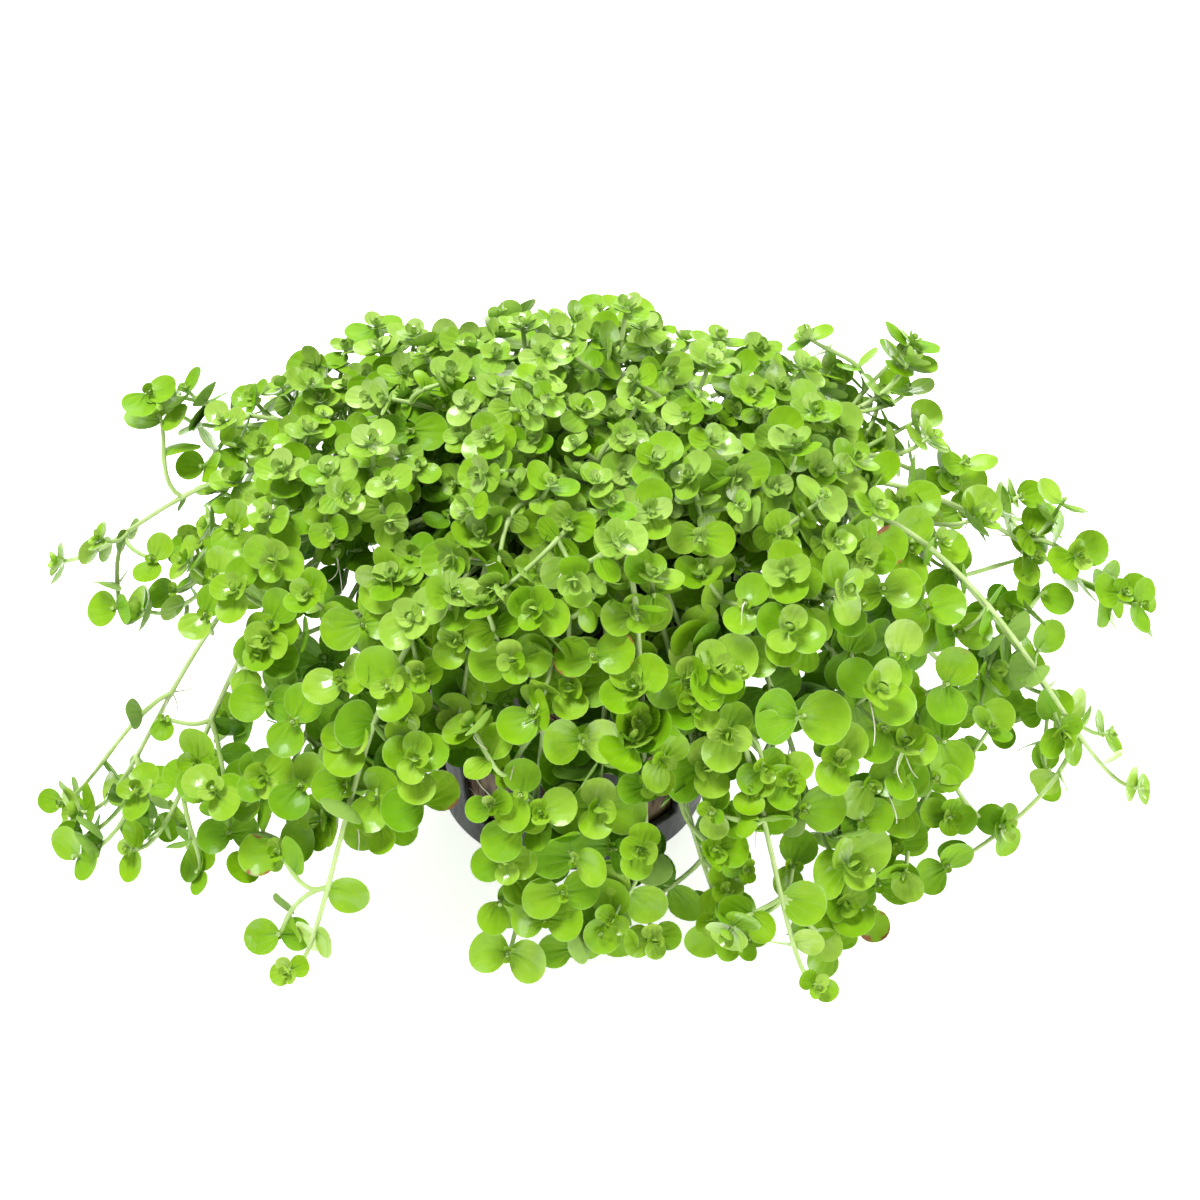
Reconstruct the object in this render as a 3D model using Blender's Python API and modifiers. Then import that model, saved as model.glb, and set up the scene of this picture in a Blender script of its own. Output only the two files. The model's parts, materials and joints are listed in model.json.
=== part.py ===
"""A creeping water plant with round leaves in pairs, growing out of a small net pot.

Each stem is one solid with its leaves: a square stem drawn out along a smooth path, whose side faces
are drawn out into leaf blades. The origin is the middle of the pot's flat base, on the ground, and the
plant is seen from the -Y side.
"""
import math
from typing import NamedTuple

import bmesh
import bpy
from mathutils import Matrix, Vector
from mathutils.bvhtree import BVHTree
from mathutils.kdtree import KDTree

MM = 0.001

# Pot, in millimetres: a tapered cup with a rim, a flat base and upright windows
POT_SIDES = 20
POT_BASE_RADIUS = 20.5
POT_TOP_RADIUS = 26.0
POT_HEIGHT = 49.0
POT_WALL = 1.2
POT_FLOOR = 1.8
RIM_RADIUS = 27.5
RIM_DEPTH = 2.2
WINDOWS = 10
WINDOW_WIDTH = 8.8
WINDOW_FOOT = 6.0
WINDOW_HEAD = 38.0
WINDOW_CUT = 16.0
DRAIN_SLOTS = 3
DRAIN_LENGTH = 8.0
DRAIN_WIDTH = 2.6
DRAIN_RADIUS = 12.0

# Growing plug, in millimetres
PLUG_TOP = 42.0
PLUG_GAP = 0.5
PLUG_CHAMFER = 1.5

# Stems, in millimetres and degrees
STEM_RADIUS = 0.72
BUD_TAPER = 0.8
NODE_LENGTH = 1.3
SHORTEST_BEND = 3.0
BEND_STEP = math.radians(38.0)
STEM_GAP = 0.35
STEM_ROOM = 1.95
RIM_ROOM = 1.6
GROUND = 0.45
ROOT_SPREAD = 20.0
ROOT_SPACING = 3.6
ROOT_SETTLING = 200
WIDEST_LEAN = 135.0
ROLL_STEP = 38.0
ROLL_RANGE = 90.0

# A stem's middle line: it rises from its root, goes over its shoulder and comes up again at its tip.
# Shares of its reach, its sideways bow and its height, then heights and lengths in millimetres.
RISING = (0.06, 0.3, 0.75)
SHOULDER_REACH = 0.6
TIP_HANDLE = 0.32
LONGEST_TIP_HANDLE = 14.0
CREST_HEIGHT = 66.0
UPRIGHT_FROM = 55.0
UPRIGHT_BY = 70.0
PATH_BOWS = (0.0, 2.5, -2.5, 5.0, -5.0, 7.5, -7.5, 10.0, -10.0, 13.0, -13.0)
PATH_LIFTS = (0.0, 5.0, -5.0, 10.0, -10.0, 15.0, 20.0)

# Leaves, in millimetres, degrees and shares of a leaf's length. Each (size, pitch) is for a full leaf,
# a young leaf and a bud's leaf, and each dodge is (more pitch, turn round the stem).
LEAF_THICKNESS = 0.7
LEAF_CLEARANCE = 0.3
OWN_CLEARANCE = 0.1
LEAF_NECK = 0.2
LEAF_BELLY = 0.48
LEAF_HALF_WIDTH = 0.53
LEAF_OUTLINE = 1.05
TIP_HALF_WIDTH = 0.3
TIP_LIFT = 10.0
POT_ROOM = 0.6
FULL_LEAF = (1.0, 6.0)
YOUNG_LEAF = (0.86, 16.0)
BUD_LEAF = (0.6, 42.0)
LEAF_SHRINKS = (1.0, 0.82, 0.66, 0.52)
LEAF_DODGES = ((0, 0), (14, 0), (-12, 0), (0, 22), (0, -22), (28, 0), (20, 25), (20, -25), (40, 0), (-24, 0),
               (34, 30), (34, -30), (52, 0), (5, 42), (5, -42), (45, 42), (45, -42))


class Stem(NamedTuple):
    """One stem, by its growing tip in millimetres, the tip's rise in degrees and its leaf pairs."""

    x: float
    y: float
    z: float
    rise: float
    pairs: int
    leaf: float
    spacing: float


LEFT = [
    Stem(-61, 25, 54, 55, 3, 7.5, 10), Stem(-79, 15, 31, -5, 5, 6.5, 12), Stem(-65, 4, 31, 35, 4, 8, 12),
    Stem(-75, -14, 6, 35, 5, 8.5, 13), Stem(-66, -22, 6, 35, 5, 8, 12), Stem(-40, -47, 7, 50, 5, 8.5, 13),
    Stem(-46, -25, 20, 40, 4, 8.5, 11), Stem(-36, -31, 21, 40, 4, 8.5, 11),
    Stem(-41, -15, 33, 45, 3, 8.5, 12),
    Stem(-51, -12, 23, 30, 4, 9, 12), Stem(-43, 21, 60, 60, 3, 7.5, 9), Stem(-53, 13, 47, 45, 4, 7.5, 11),
]
FRONT = [
    Stem(4, -39, 31, 50, 4, 9.5, 11), Stem(18, -29, 50, 55, 3, 9, 9), Stem(19, -35, 35, 50, 3, 9, 12),
    Stem(-9, -25, 57, 58, 3, 8.5, 9), Stem(-16, -31, 40, 50, 3, 9, 11), Stem(-21, -30, 58, 55, 3, 8.5, 9),
    Stem(34, -14, 48, 50, 3, 9, 10), Stem(4, -19, 64, 65, 3, 7.5, 9), Stem(0, -33, 48, 55, 4, 8.5, 9),
    Stem(35, -49, 6, 45, 5, 8.5, 13), Stem(25, -42, 8, 40, 4, 8, 13), Stem(12, -43, 9, 50, 4, 8.5, 13),
    Stem(-9, -44, 7, 40, 5, 9, 12), Stem(40, -36, 17, 50, 4, 9.5, 12), Stem(-27, -37, 26, 45, 4, 8.5, 11),
]
RIGHT = [
    Stem(50, 22, 64, 65, 3, 8, 10), Stem(53, 15, 55, 45, 3, 8.5, 10), Stem(60, 6, 47, 35, 4, 8.5, 11),
    Stem(74, 25, 33, 35, 4, 8.5, 13), Stem(88, 10, 27, 15, 5, 8.5, 11),
    Stem(83, -1, 10, 25, 5, 8, 13), Stem(87, -10, 7, 20, 5, 7.5, 14), Stem(65, -18, 7, 25, 4, 7.5, 14),
    Stem(48, -17, 32, 45, 3, 9.5, 13), Stem(63, -4, 25, 35, 4, 8.5, 12),
]
CROWN = [
    Stem(-28, 18, 69, 65, 3, 7, 9), Stem(-7, 18, 73, 75, 4, 7, 8), Stem(8, 12, 80, 78, 4, 7, 9),
    Stem(20, 10, 72, 70, 4, 7, 8), Stem(34, 16, 67, 60, 3, 7.5, 9), Stem(-31, -1, 64, 60, 3, 7.5, 9),
    Stem(-15, -5, 70, 75, 4, 7, 7), Stem(2, -3, 73, 80, 4, 7, 8), Stem(22, -8, 67, 68, 4, 7.5, 7),
    Stem(38, -3, 62, 55, 3, 8, 10), Stem(-42, 3, 58, 55, 3, 7.5, 10), Stem(-12, -14, 65, 70, 3, 7.5, 8),
]
BACK = [
    Stem(-46, 44, 42, 35, 4, 8, 11), Stem(-28, 36, 56, 50, 3, 7.5, 9), Stem(-6, 34, 61, 60, 3, 7.5, 9),
    Stem(17, 33, 60, 55, 3, 7.5, 9), Stem(38, 42, 48, 40, 3, 8, 11), Stem(-14, 57, 28, 30, 4, 8.5, 11),
    Stem(14, 56, 32, 30, 4, 8.5, 11), Stem(52, 52, 12, 35, 5, 8.5, 13), Stem(-38, 60, 10, 35, 5, 8.5, 13),
]
STEMS = LEFT + FRONT + RIGHT + CROWN + BACK


def clear_scene() -> None:
    for thing in list(bpy.data.objects):
        bpy.data.objects.remove(thing, do_unlink=True)


def new_collection(name: str) -> bpy.types.Collection:
    group = bpy.data.collections.new(name)
    bpy.context.scene.collection.children.link(group)
    return group


def make_material(name: str, colour: tuple, roughness: float) -> bpy.types.Material:
    material = bpy.data.materials.new(name)
    material.use_nodes = True
    shader = material.node_tree.nodes["Principled BSDF"]
    shader.inputs["Base Color"].default_value = (*colour, 1.0)
    shader.inputs["Roughness"].default_value = roughness
    shader.inputs["Metallic"].default_value = 0.0
    material.diffuse_color = (*colour, 1.0)
    return material


def add_object(name: str, mesh: bpy.types.Mesh, group: bpy.types.Collection,
               material: bpy.types.Material | None = None) -> bpy.types.Object:
    thing = bpy.data.objects.new(name, mesh)
    group.objects.link(thing)
    if material:
        mesh.materials.append(material)
    return thing


def turned_object(name: str, profile: list, group: bpy.types.Collection,
                  material: bpy.types.Material) -> bpy.types.Object:
    """Turn a profile of (radius, height) points in millimetres about the upright axis."""
    mesh = bpy.data.meshes.new(name)
    points = [(radius * MM, 0.0, height * MM) for radius, height in profile]
    mesh.from_pydata(points, [(i, i + 1) for i in range(len(points) - 1)], [])
    thing = add_object(name, mesh, group, material)
    screw = thing.modifiers.new("turn", "SCREW")
    screw.steps = screw.render_steps = POT_SIDES
    screw.use_merge_vertices = True
    screw.merge_threshold = 0.00005
    screw.use_smooth_shade = False
    return thing


def box_cutter(name: str, boxes: list, group: bpy.types.Collection) -> bpy.types.Object:
    """Join boxes, each a placing matrix that sizes, moves and turns a unit cube, in one cutter."""
    bm = bmesh.new()
    for placing in boxes:
        bmesh.ops.create_cube(bm, size=1.0, matrix=placing)
    mesh = bpy.data.meshes.new(name)
    bm.to_mesh(mesh)
    bm.free()
    cutter = add_object(name, mesh, group)
    cutter.hide_render = True
    cutter.display_type = "WIRE"
    return cutter


def spoke_boxes(count: int, radius: float, size: tuple, height: float) -> list:
    """Give the placings of boxes set round the upright axis, all in millimetres."""
    placings = []
    for i in range(count):
        turn = Matrix.Rotation(math.tau * (i + 0.5) / count, 4, "Z")
        place = Matrix.Translation(Vector((radius, 0.0, height)) * MM)
        placings.append(turn @ place @ Matrix.Diagonal((*(Vector(size) * MM), 1.0)))
    return placings


def pot_radius(height: float) -> float:
    return POT_BASE_RADIUS + (POT_TOP_RADIUS - POT_BASE_RADIUS) * height / POT_HEIGHT


def make_pot(group: bpy.types.Collection, cutters: bpy.types.Collection) -> None:
    plastic = make_material("pot_plastic", (0.035, 0.038, 0.042), 0.45)
    profile = [
        (0.0, POT_FLOOR),
        (pot_radius(POT_FLOOR) - POT_WALL, POT_FLOOR),
        (pot_radius(POT_HEIGHT) - POT_WALL, POT_HEIGHT),
        (RIM_RADIUS, POT_HEIGHT),
        (RIM_RADIUS, POT_HEIGHT - RIM_DEPTH),
        (pot_radius(POT_HEIGHT - RIM_DEPTH), POT_HEIGHT - RIM_DEPTH),
        (POT_BASE_RADIUS, 0.0),
        (0.0, 0.0),
    ]
    pot = turned_object("pot", profile, group, plastic)
    windows = spoke_boxes(WINDOWS, POT_TOP_RADIUS, (WINDOW_CUT, WINDOW_WIDTH, WINDOW_HEAD - WINDOW_FOOT),
                          (WINDOW_FOOT + WINDOW_HEAD) / 2)
    drains = spoke_boxes(DRAIN_SLOTS, DRAIN_RADIUS, (DRAIN_LENGTH, DRAIN_WIDTH, 4 * POT_FLOOR), 0.0)
    cut = pot.modifiers.new("openings", "BOOLEAN")
    cut.operation = "DIFFERENCE"
    cut.solver = "EXACT"
    cut.object = box_cutter("pot_openings", windows + drains, cutters)


def make_plug(group: bpy.types.Collection) -> None:
    wool = make_material("growing_wool", (0.115, 0.07, 0.04), 0.95)
    foot = POT_FLOOR + PLUG_GAP
    profile = [
        (0.0, PLUG_TOP),
        (pot_radius(PLUG_TOP) - POT_WALL - PLUG_GAP - PLUG_CHAMFER, PLUG_TOP),
        (pot_radius(PLUG_TOP - PLUG_CHAMFER) - POT_WALL - PLUG_GAP, PLUG_TOP - PLUG_CHAMFER),
        (pot_radius(foot) - POT_WALL - PLUG_GAP, foot),
        (0.0, foot),
    ]
    turned_object("plug", profile, group, wool)


def root_points(stems: list) -> list:
    """Spread the stems' roots over the plug, each on the side its tip leans to, none too close."""
    points = []
    for stem in stems:
        lean = math.degrees(math.atan2(math.hypot(stem.x, stem.y), stem.z - PLUG_TOP))
        side = Vector((stem.x, stem.y)).normalized()
        points.append(side * ROOT_SPREAD * min(lean / WIDEST_LEAN, 1.0))
    for _ in range(ROOT_SETTLING):
        for i, first in enumerate(points):
            for second in points[:i]:
                apart = first - second
                if apart.length < ROOT_SPACING:
                    push = apart.normalized() * (ROOT_SPACING - apart.length) / 2
                    first += push
                    second -= push
        for point in points:
            point *= min(1.0, ROOT_SPREAD / point.length)
    return points


def bezier(points: list, t: float) -> Vector:
    while len(points) > 1:
        points = [a.lerp(b, t) for a, b in zip(points, points[1:])]
    return points[0]


class Path:
    """A stem's smooth middle line, from its root up, over the rim and out to its tip."""

    STEPS = 60

    def __init__(self, stem: Stem, root: Vector, bow: float, lift: float) -> None:
        tip = Vector((stem.x, stem.y, stem.z))
        foot = Vector((root.x, root.y, PLUG_TOP + STEM_GAP))
        out = Vector((tip.x - foot.x, tip.y - foot.y, 0.0))
        reach = out.length
        out.normalize()
        self.side = Vector((-out.y, out.x, 0.0))
        rise = math.radians(stem.rise)
        handle = min(TIP_HANDLE * (tip - foot).length, LONGEST_TIP_HANDLE)
        before_tip = tip - (out * math.cos(rise) + Vector((0, 0, math.sin(rise)))) * handle
        upright = max(0.0, min(1.0, (stem.z - UPRIGHT_FROM) / (UPRIGHT_BY - UPRIGHT_FROM)))
        crest = CREST_HEIGHT * (1 - upright) + (foot.z + tip.z) / 2 * upright + lift
        rising = foot + out * RISING[0] * reach + self.side * RISING[1] * bow
        rising.z += RISING[2] * (crest - foot.z)
        shoulder = foot + out * SHOULDER_REACH * reach + self.side * bow
        shoulder.z = crest
        handles = [foot, rising, shoulder, before_tip, tip]
        self.points = [bezier(handles, i / self.STEPS) for i in range(self.STEPS + 1)]
        lowest = GROUND + STEM_RADIUS
        for point in self.points:
            point.z = max(point.z, lowest)
        self.lengths = [0.0]
        for a, b in zip(self.points, self.points[1:]):
            self.lengths.append(self.lengths[-1] + (b - a).length)
        self.length = self.lengths[-1]

    def at(self, distance: float) -> tuple:
        """Give the point and the growing direction at a distance from the root."""
        distance = max(0.0, min(self.length, distance))
        i = 0
        while i < self.STEPS - 1 and self.lengths[i + 1] < distance:
            i += 1
        a, b = self.points[i], self.points[i + 1]
        share = (distance - self.lengths[i]) / (self.lengths[i + 1] - self.lengths[i])
        before = self.points[max(0, i - 1)]
        after = self.points[min(self.STEPS, i + 2)]
        return a.lerp(b, share), (after - before).normalized()

    def frame(self, distance: float, roll: float) -> tuple:
        """Give the point, the growing direction and two square side directions, turned by a roll."""
        point, along = self.at(distance)
        side = (self.side - along * self.side.dot(along)).normalized()
        side = Matrix.Rotation(roll, 3, along) @ side
        return point, along, side, along.cross(side)


def section_distances(stem: Stem, path: Path) -> list:
    """List the stem's lengths from root to tip as (end of length, grows a pair of leaves)."""
    rosette = path.length - 2 * NODE_LENGTH
    starts = [rosette - stem.spacing * i for i in reversed(range(stem.pairs - 1))]
    sections = []
    heading = path.at(0.0)[1]
    for i in range(1, int(starts[0])):
        ahead = path.at(float(i))[1]
        if ahead.angle(heading) > BEND_STEP and starts[0] - i > SHORTEST_BEND:
            sections.append((float(i), False))
            heading = ahead
    for start in starts:
        sections.append((start, False))
        sections.append((start + NODE_LENGTH, True))
    sections.append((path.length, True))
    return sections


def straight_runs(stem: Stem, path: Path) -> list:
    """Give points close together along the straight lengths that the stem is drawn with."""
    ends = [path.at(0.0)[0]] + [path.at(end)[0] for end, _ in section_distances(stem, path)]
    points = []
    for a, b in zip(ends, ends[1:]):
        steps = max(1, round((b - a).length))
        points += [a.lerp(b, i / steps) for i in range(steps)]
    return points + [ends[-1]]


def is_clear(points: list, taken: KDTree) -> bool:
    """Test a stem's points against the pot's rim and the stems before it."""
    for point in points:
        radius = math.hypot(point.x, point.y)
        near_rim = POT_TOP_RADIUS - POT_WALL - RIM_ROOM < radius < RIM_RADIUS + RIM_ROOM
        if near_rim and point.z < POT_HEIGHT + RIM_ROOM:
            return False
        if taken.find(point)[2] < STEM_ROOM:
            return False
    return True


def stem_paths(stems: list) -> list:
    """Lead every stem out over the rim, bowed sideways or higher where another is in its way."""
    paths = []
    taken_points = [Vector((0.0, 0.0, -POT_HEIGHT))]
    for stem, root in zip(stems, root_points(stems)):
        taken = KDTree(len(taken_points))
        for i, point in enumerate(taken_points):
            taken.insert(point, i)
        taken.balance()
        tries = (Path(stem, root, bow, lift) for lift in PATH_LIFTS for bow in PATH_BOWS)
        path = next(path for path in tries if is_clear(straight_runs(stem, path), taken))
        taken_points += straight_runs(stem, path)
        paths.append(path)
    return paths


def place_ring(face: bmesh.types.BMFace, old: tuple, new: tuple, radius: float) -> None:
    """Move a square face from one frame on the path to another."""
    old_point, _, old_side, old_up = old
    point, _, side, up = new
    for vert in face.verts:
        offset = vert.co - old_point
        across = math.copysign(radius, offset.dot(old_side))
        upward = math.copysign(radius, offset.dot(old_up))
        vert.co = point + side * across + up * upward


def draw_stem(bm: bmesh.types.BMesh, stem: Stem, path: Path, roll: float) -> list:
    """Draw the square stem out along its path and give its nodes as (side faces, frame)."""
    half = STEM_RADIUS / math.sqrt(2)
    sections = section_distances(stem, path)
    bmesh.ops.create_cube(bm, size=2 * half)
    top = max(bm.faces, key=lambda face: face.calc_center_median().z)
    bottom = min(bm.faces, key=lambda face: face.calc_center_median().z)
    start = (Vector(), Vector((0, 0, 1)), Vector((1, 0, 0)), Vector((0, 1, 0)))
    here = path.frame(0.0, roll)
    place_ring(bottom, start, here, half)
    place_ring(top, start, path.frame(sections[0][0], roll), half)
    before = path.frame(sections[0][0], roll)
    nodes = []
    for end, leafy in sections[1:]:
        top = bmesh.ops.extrude_discrete_faces(bm, faces=[top])["faces"][0]
        after = path.frame(end, roll)
        place_ring(top, before, after, half * (BUD_TAPER if end == path.length else 1.0))
        if leafy:
            sides = [f for edge in top.edges for f in edge.link_faces if f is not top]
            nodes.append((sides, before))
        before = after
    return nodes


def leaf_sections(root: Vector, along: Vector, out: Vector, length: float, pitch: float) -> list:
    """Give a leaf's cross sections past its root as (middle, across, up, half width, half thickness)."""
    across = along.cross(out)
    sections = []
    for reach, half_width, lift in ((LEAF_BELLY, LEAF_HALF_WIDTH, 0.0), (1.0, TIP_HALF_WIDTH, TIP_LIFT)):
        angle = math.radians(pitch + lift)
        ahead = out * math.cos(angle) + along * math.sin(angle)
        up = along * math.cos(angle) - out * math.sin(angle)
        sections.append((root + ahead * length * reach, across, up, length * half_width, LEAF_THICKNESS / 2))
    return sections


def leaf_corners(sections: list, room: float) -> list:
    """Give the corners of a leaf's cross sections, with room all round them."""
    corners = []
    for middle, across, up, half_width, half_thick in sections:
        wide = across * (half_width + room)
        thick = up * (half_thick + room)
        corners += [middle - wide - thick, middle + wide - thick]
        corners += [middle + wide + thick, middle - wide + thick]
    return corners


def leaf_hull(corners: list) -> BVHTree:
    """Close a leaf's cross sections to a shape that can be tested against others."""
    last = len(corners) - 4
    faces = [(3, 2, 1, 0), (last, last + 1, last + 2, last + 3)]
    for ring in range(0, last, 4):
        for i in range(4):
            j = (i + 1) % 4
            faces.append((ring + i, ring + j, ring + j + 4, ring + i + 4))
    return BVHTree.FromPolygons(corners, faces)


def leaf_is_clear(sections: list, obstacles: list, own: list) -> bool:
    """Test a leaf, with room all round it, against the ground, the pot and the other stems.

    Its blade past the neck is also tested against its own stem and that stem's leaves.
    """
    corners = leaf_corners(sections, LEAF_CLEARANCE)
    for corner in corners:
        if corner.z < GROUND + LEAF_CLEARANCE:
            return False
        if corner.z < POT_HEIGHT + POT_ROOM and math.hypot(corner.x, corner.y) < RIM_RADIUS + POT_ROOM:
            return False
    shape = leaf_hull(corners)
    if any(shape.overlap(other) for other in obstacles):
        return False
    blade = leaf_hull(leaf_corners(sections[1:], OWN_CLEARANCE))
    return not any(blade.overlap(other) for other in own)


def fit_leaf(root: Vector, along: Vector, out: Vector, size: tuple, obstacles: list, own: list) -> list:
    """Turn, tilt or shrink a leaf away from what is in its way, and give its cross sections."""
    length, pitch = size
    for shrink in LEAF_SHRINKS:
        for lean, turn in LEAF_DODGES:
            heading = Matrix.Rotation(math.radians(turn), 3, along) @ out
            sections = leaf_sections(root, along, heading, length * shrink * LEAF_OUTLINE, pitch + lean)
            belly, across, up, half_width, _ = sections[0]
            neck_half_width = STEM_RADIUS + LEAF_NECK * half_width
            neck = (root.lerp(belly, LEAF_NECK), across, up, neck_half_width, NODE_LENGTH / 2)
            if leaf_is_clear([neck] + sections, obstacles, own):
                return sections
    return []


def grow_leaf(bm: bmesh.types.BMesh, face: bmesh.types.BMFace, along: Vector, sections: list) -> None:
    """Draw a side face of the stem out through a leaf's cross sections, to a thin tip."""
    before = along
    for middle, across, up, half_width, half_thick in sections:
        face = bmesh.ops.extrude_discrete_faces(bm, faces=[face])["faces"][0]
        centre = face.calc_center_median()
        for vert in face.verts:
            offset = vert.co - centre
            sideways = math.copysign(half_width, offset.dot(across))
            upward = math.copysign(half_thick, offset.dot(before))
            vert.co = middle + across * sideways + up * upward
        before = up
    short_edges = sorted(face.edges, key=lambda edge: edge.calc_length())[:2]
    bmesh.ops.collapse(bm, edges=short_edges)


def leaf_sizes(stem: Stem) -> list:
    """Give each pair's leaf length and pitch from the lowest pair to the tip."""
    kinds = [FULL_LEAF] * (stem.pairs - 2) + [YOUNG_LEAF, BUD_LEAF]
    return [(stem.leaf * size, pitch) for size, pitch in kinds]


def make_stems(group: bpy.types.Collection) -> None:
    leaf_green = make_material("leaf_green", (0.26, 0.48, 0.035), 0.42)
    drawn = []
    for i, (stem, path) in enumerate(zip(STEMS, stem_paths(STEMS))):
        bm = bmesh.new()
        roll = math.radians(ROLL_STEP * i % ROLL_RANGE - ROLL_RANGE / 2)
        drawn.append((bm, draw_stem(bm, stem, path, roll)))
    trees = [BVHTree.FromBMesh(bm) for bm, _ in drawn]
    for i, (stem, (bm, nodes)) in enumerate(zip(STEMS, drawn)):
        obstacles = trees[:i] + trees[i + 1:]
        own = [trees[i]]
        for k, ((sides, frame), size) in enumerate(zip(nodes, leaf_sizes(stem))):
            along = frame[1]
            for out in (frame[2 + k % 2], -frame[2 + k % 2]):
                bm.normal_update()
                face = max(sides, key=lambda side: side.normal.dot(out))
                sides.remove(face)
                sections = fit_leaf(face.calc_center_median(), along, out, size, obstacles, own)
                if sections:
                    grow_leaf(bm, face, along, sections)
                    own.append(leaf_hull(leaf_corners(sections, 0.0)))
        trees[i] = BVHTree.FromBMesh(bm)
        bmesh.ops.scale(bm, vec=(MM, MM, MM), verts=bm.verts)
        mesh = bpy.data.meshes.new(f"stem_{i + 1:02d}")
        bm.to_mesh(mesh)
        bm.free()
        add_object(mesh.name, mesh, group, leaf_green)


def main() -> None:
    clear_scene()
    plant = new_collection("creeping_plant_in_net_pot")
    cutters = new_collection("cutters")
    make_pot(plant, cutters)
    make_plug(plant)
    make_stems(plant)


main()
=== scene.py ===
"""A creeping water plant with round leaves in pairs, growing over the rim of a small dark net pot.

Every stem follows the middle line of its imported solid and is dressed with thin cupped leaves, nested tip
rosettes, side twigs and rootlets. Lengths are in millimetres until a mesh is made.
"""
import json
import logging
import random
from collections.abc import Callable, Iterable
from dataclasses import dataclass, field
from enum import Enum
from functools import cache
from math import asin, atan2, cos, degrees, exp, hypot, inf, pi, radians, sin, sqrt, tau
from typing import NamedTuple

import bmesh
import bpy
import numpy as np
from bmesh.types import BMesh
from bpy.types import Material, Mesh, Node, NodeSocket, NodeTree, Object
from mathutils import Matrix, Quaternion, Vector, noise
from mathutils.kdtree import KDTree

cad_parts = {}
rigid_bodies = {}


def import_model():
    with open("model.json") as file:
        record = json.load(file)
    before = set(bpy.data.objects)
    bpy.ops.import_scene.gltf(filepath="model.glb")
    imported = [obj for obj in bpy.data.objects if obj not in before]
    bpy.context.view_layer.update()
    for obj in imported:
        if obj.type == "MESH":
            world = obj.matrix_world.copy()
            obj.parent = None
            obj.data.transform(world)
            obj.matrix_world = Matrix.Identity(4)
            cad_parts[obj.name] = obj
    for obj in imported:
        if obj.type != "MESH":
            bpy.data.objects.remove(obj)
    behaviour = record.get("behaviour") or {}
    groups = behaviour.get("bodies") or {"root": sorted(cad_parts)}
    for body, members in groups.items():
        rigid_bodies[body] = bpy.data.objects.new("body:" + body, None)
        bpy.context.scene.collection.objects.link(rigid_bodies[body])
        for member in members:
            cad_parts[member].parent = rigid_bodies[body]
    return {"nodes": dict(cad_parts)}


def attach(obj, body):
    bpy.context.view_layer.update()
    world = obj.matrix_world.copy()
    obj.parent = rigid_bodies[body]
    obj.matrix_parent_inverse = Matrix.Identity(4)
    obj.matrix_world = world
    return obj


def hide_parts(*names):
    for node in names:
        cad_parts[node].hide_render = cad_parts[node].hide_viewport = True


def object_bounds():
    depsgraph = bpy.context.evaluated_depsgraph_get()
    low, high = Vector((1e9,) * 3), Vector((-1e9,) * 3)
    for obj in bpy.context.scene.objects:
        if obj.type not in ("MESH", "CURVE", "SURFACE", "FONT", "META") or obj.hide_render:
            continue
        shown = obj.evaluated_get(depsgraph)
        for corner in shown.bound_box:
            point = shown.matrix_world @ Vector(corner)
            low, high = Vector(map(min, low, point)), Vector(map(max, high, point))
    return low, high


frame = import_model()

CAD_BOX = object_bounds()
LOG = logging.getLogger("creeping_plant")
MM = 0.001
UP = Vector((0.0, 0.0, 1.0))
WHITE = (1.0, 1.0, 1.0, 1.0)

# The pot and the plug, as in the solids
POT_BASE_RADIUS = 20.5
POT_TOP_RADIUS = 26.0
POT_HEIGHT = 49.0
POT_WALL = 1.2
RIM_RADIUS = 27.5
RIM_DEPTH = 2.2
PLUG_TOP = 42.0
PLUG_GAP = 0.5

# The stems' middle lines and the cushion that they fill, as in the solids
STEM_RADIUS = 0.72
NODE_LENGTH = 1.3
SHORTEST_BEND = 3.0
BEND_STEP = radians(38.0)
STEM_GAP = 0.35
STEM_ROOM = 1.95
RIM_ROOM = 1.6
GROUND = 0.45
ROOT_SPREAD = 20.0
ROOT_SPACING = 3.6
ROOT_SETTLING = 200
WIDEST_LEAN = 135.0
ROLL_STEP = 38.0
ROLL_RANGE = 90.0
RISING = (0.06, 0.3, 0.75)
SHOULDER_REACH = 0.6
TIP_HANDLE = 0.32
LONGEST_TIP_HANDLE = 14.0
CREST_HEIGHT = 66.0
FLOOR_ROOM = 0.3
UPRIGHT_FROM = 55.0
UPRIGHT_BY = 70.0
CROWN_RISE = (46.0, 64.0)
DOME_WIDTH = 84.0
DOME_DEPTH = 52.0
PATH_BOWS = (0.0, 2.5, -2.5, 5.0, -5.0, 7.5, -7.5, 10.0, -10.0, 13.0, -13.0)
PATH_LIFTS = (0.0, 5.0, -5.0, 10.0, -10.0, 15.0, 20.0)


class Stem(NamedTuple):
    """One stem by its growing tip, the tip's rise in degrees, and its leaf pairs' count, size and spacing."""

    x: float
    y: float
    z: float
    rise: float
    pairs: int
    leaf: float
    spacing: float


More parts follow.
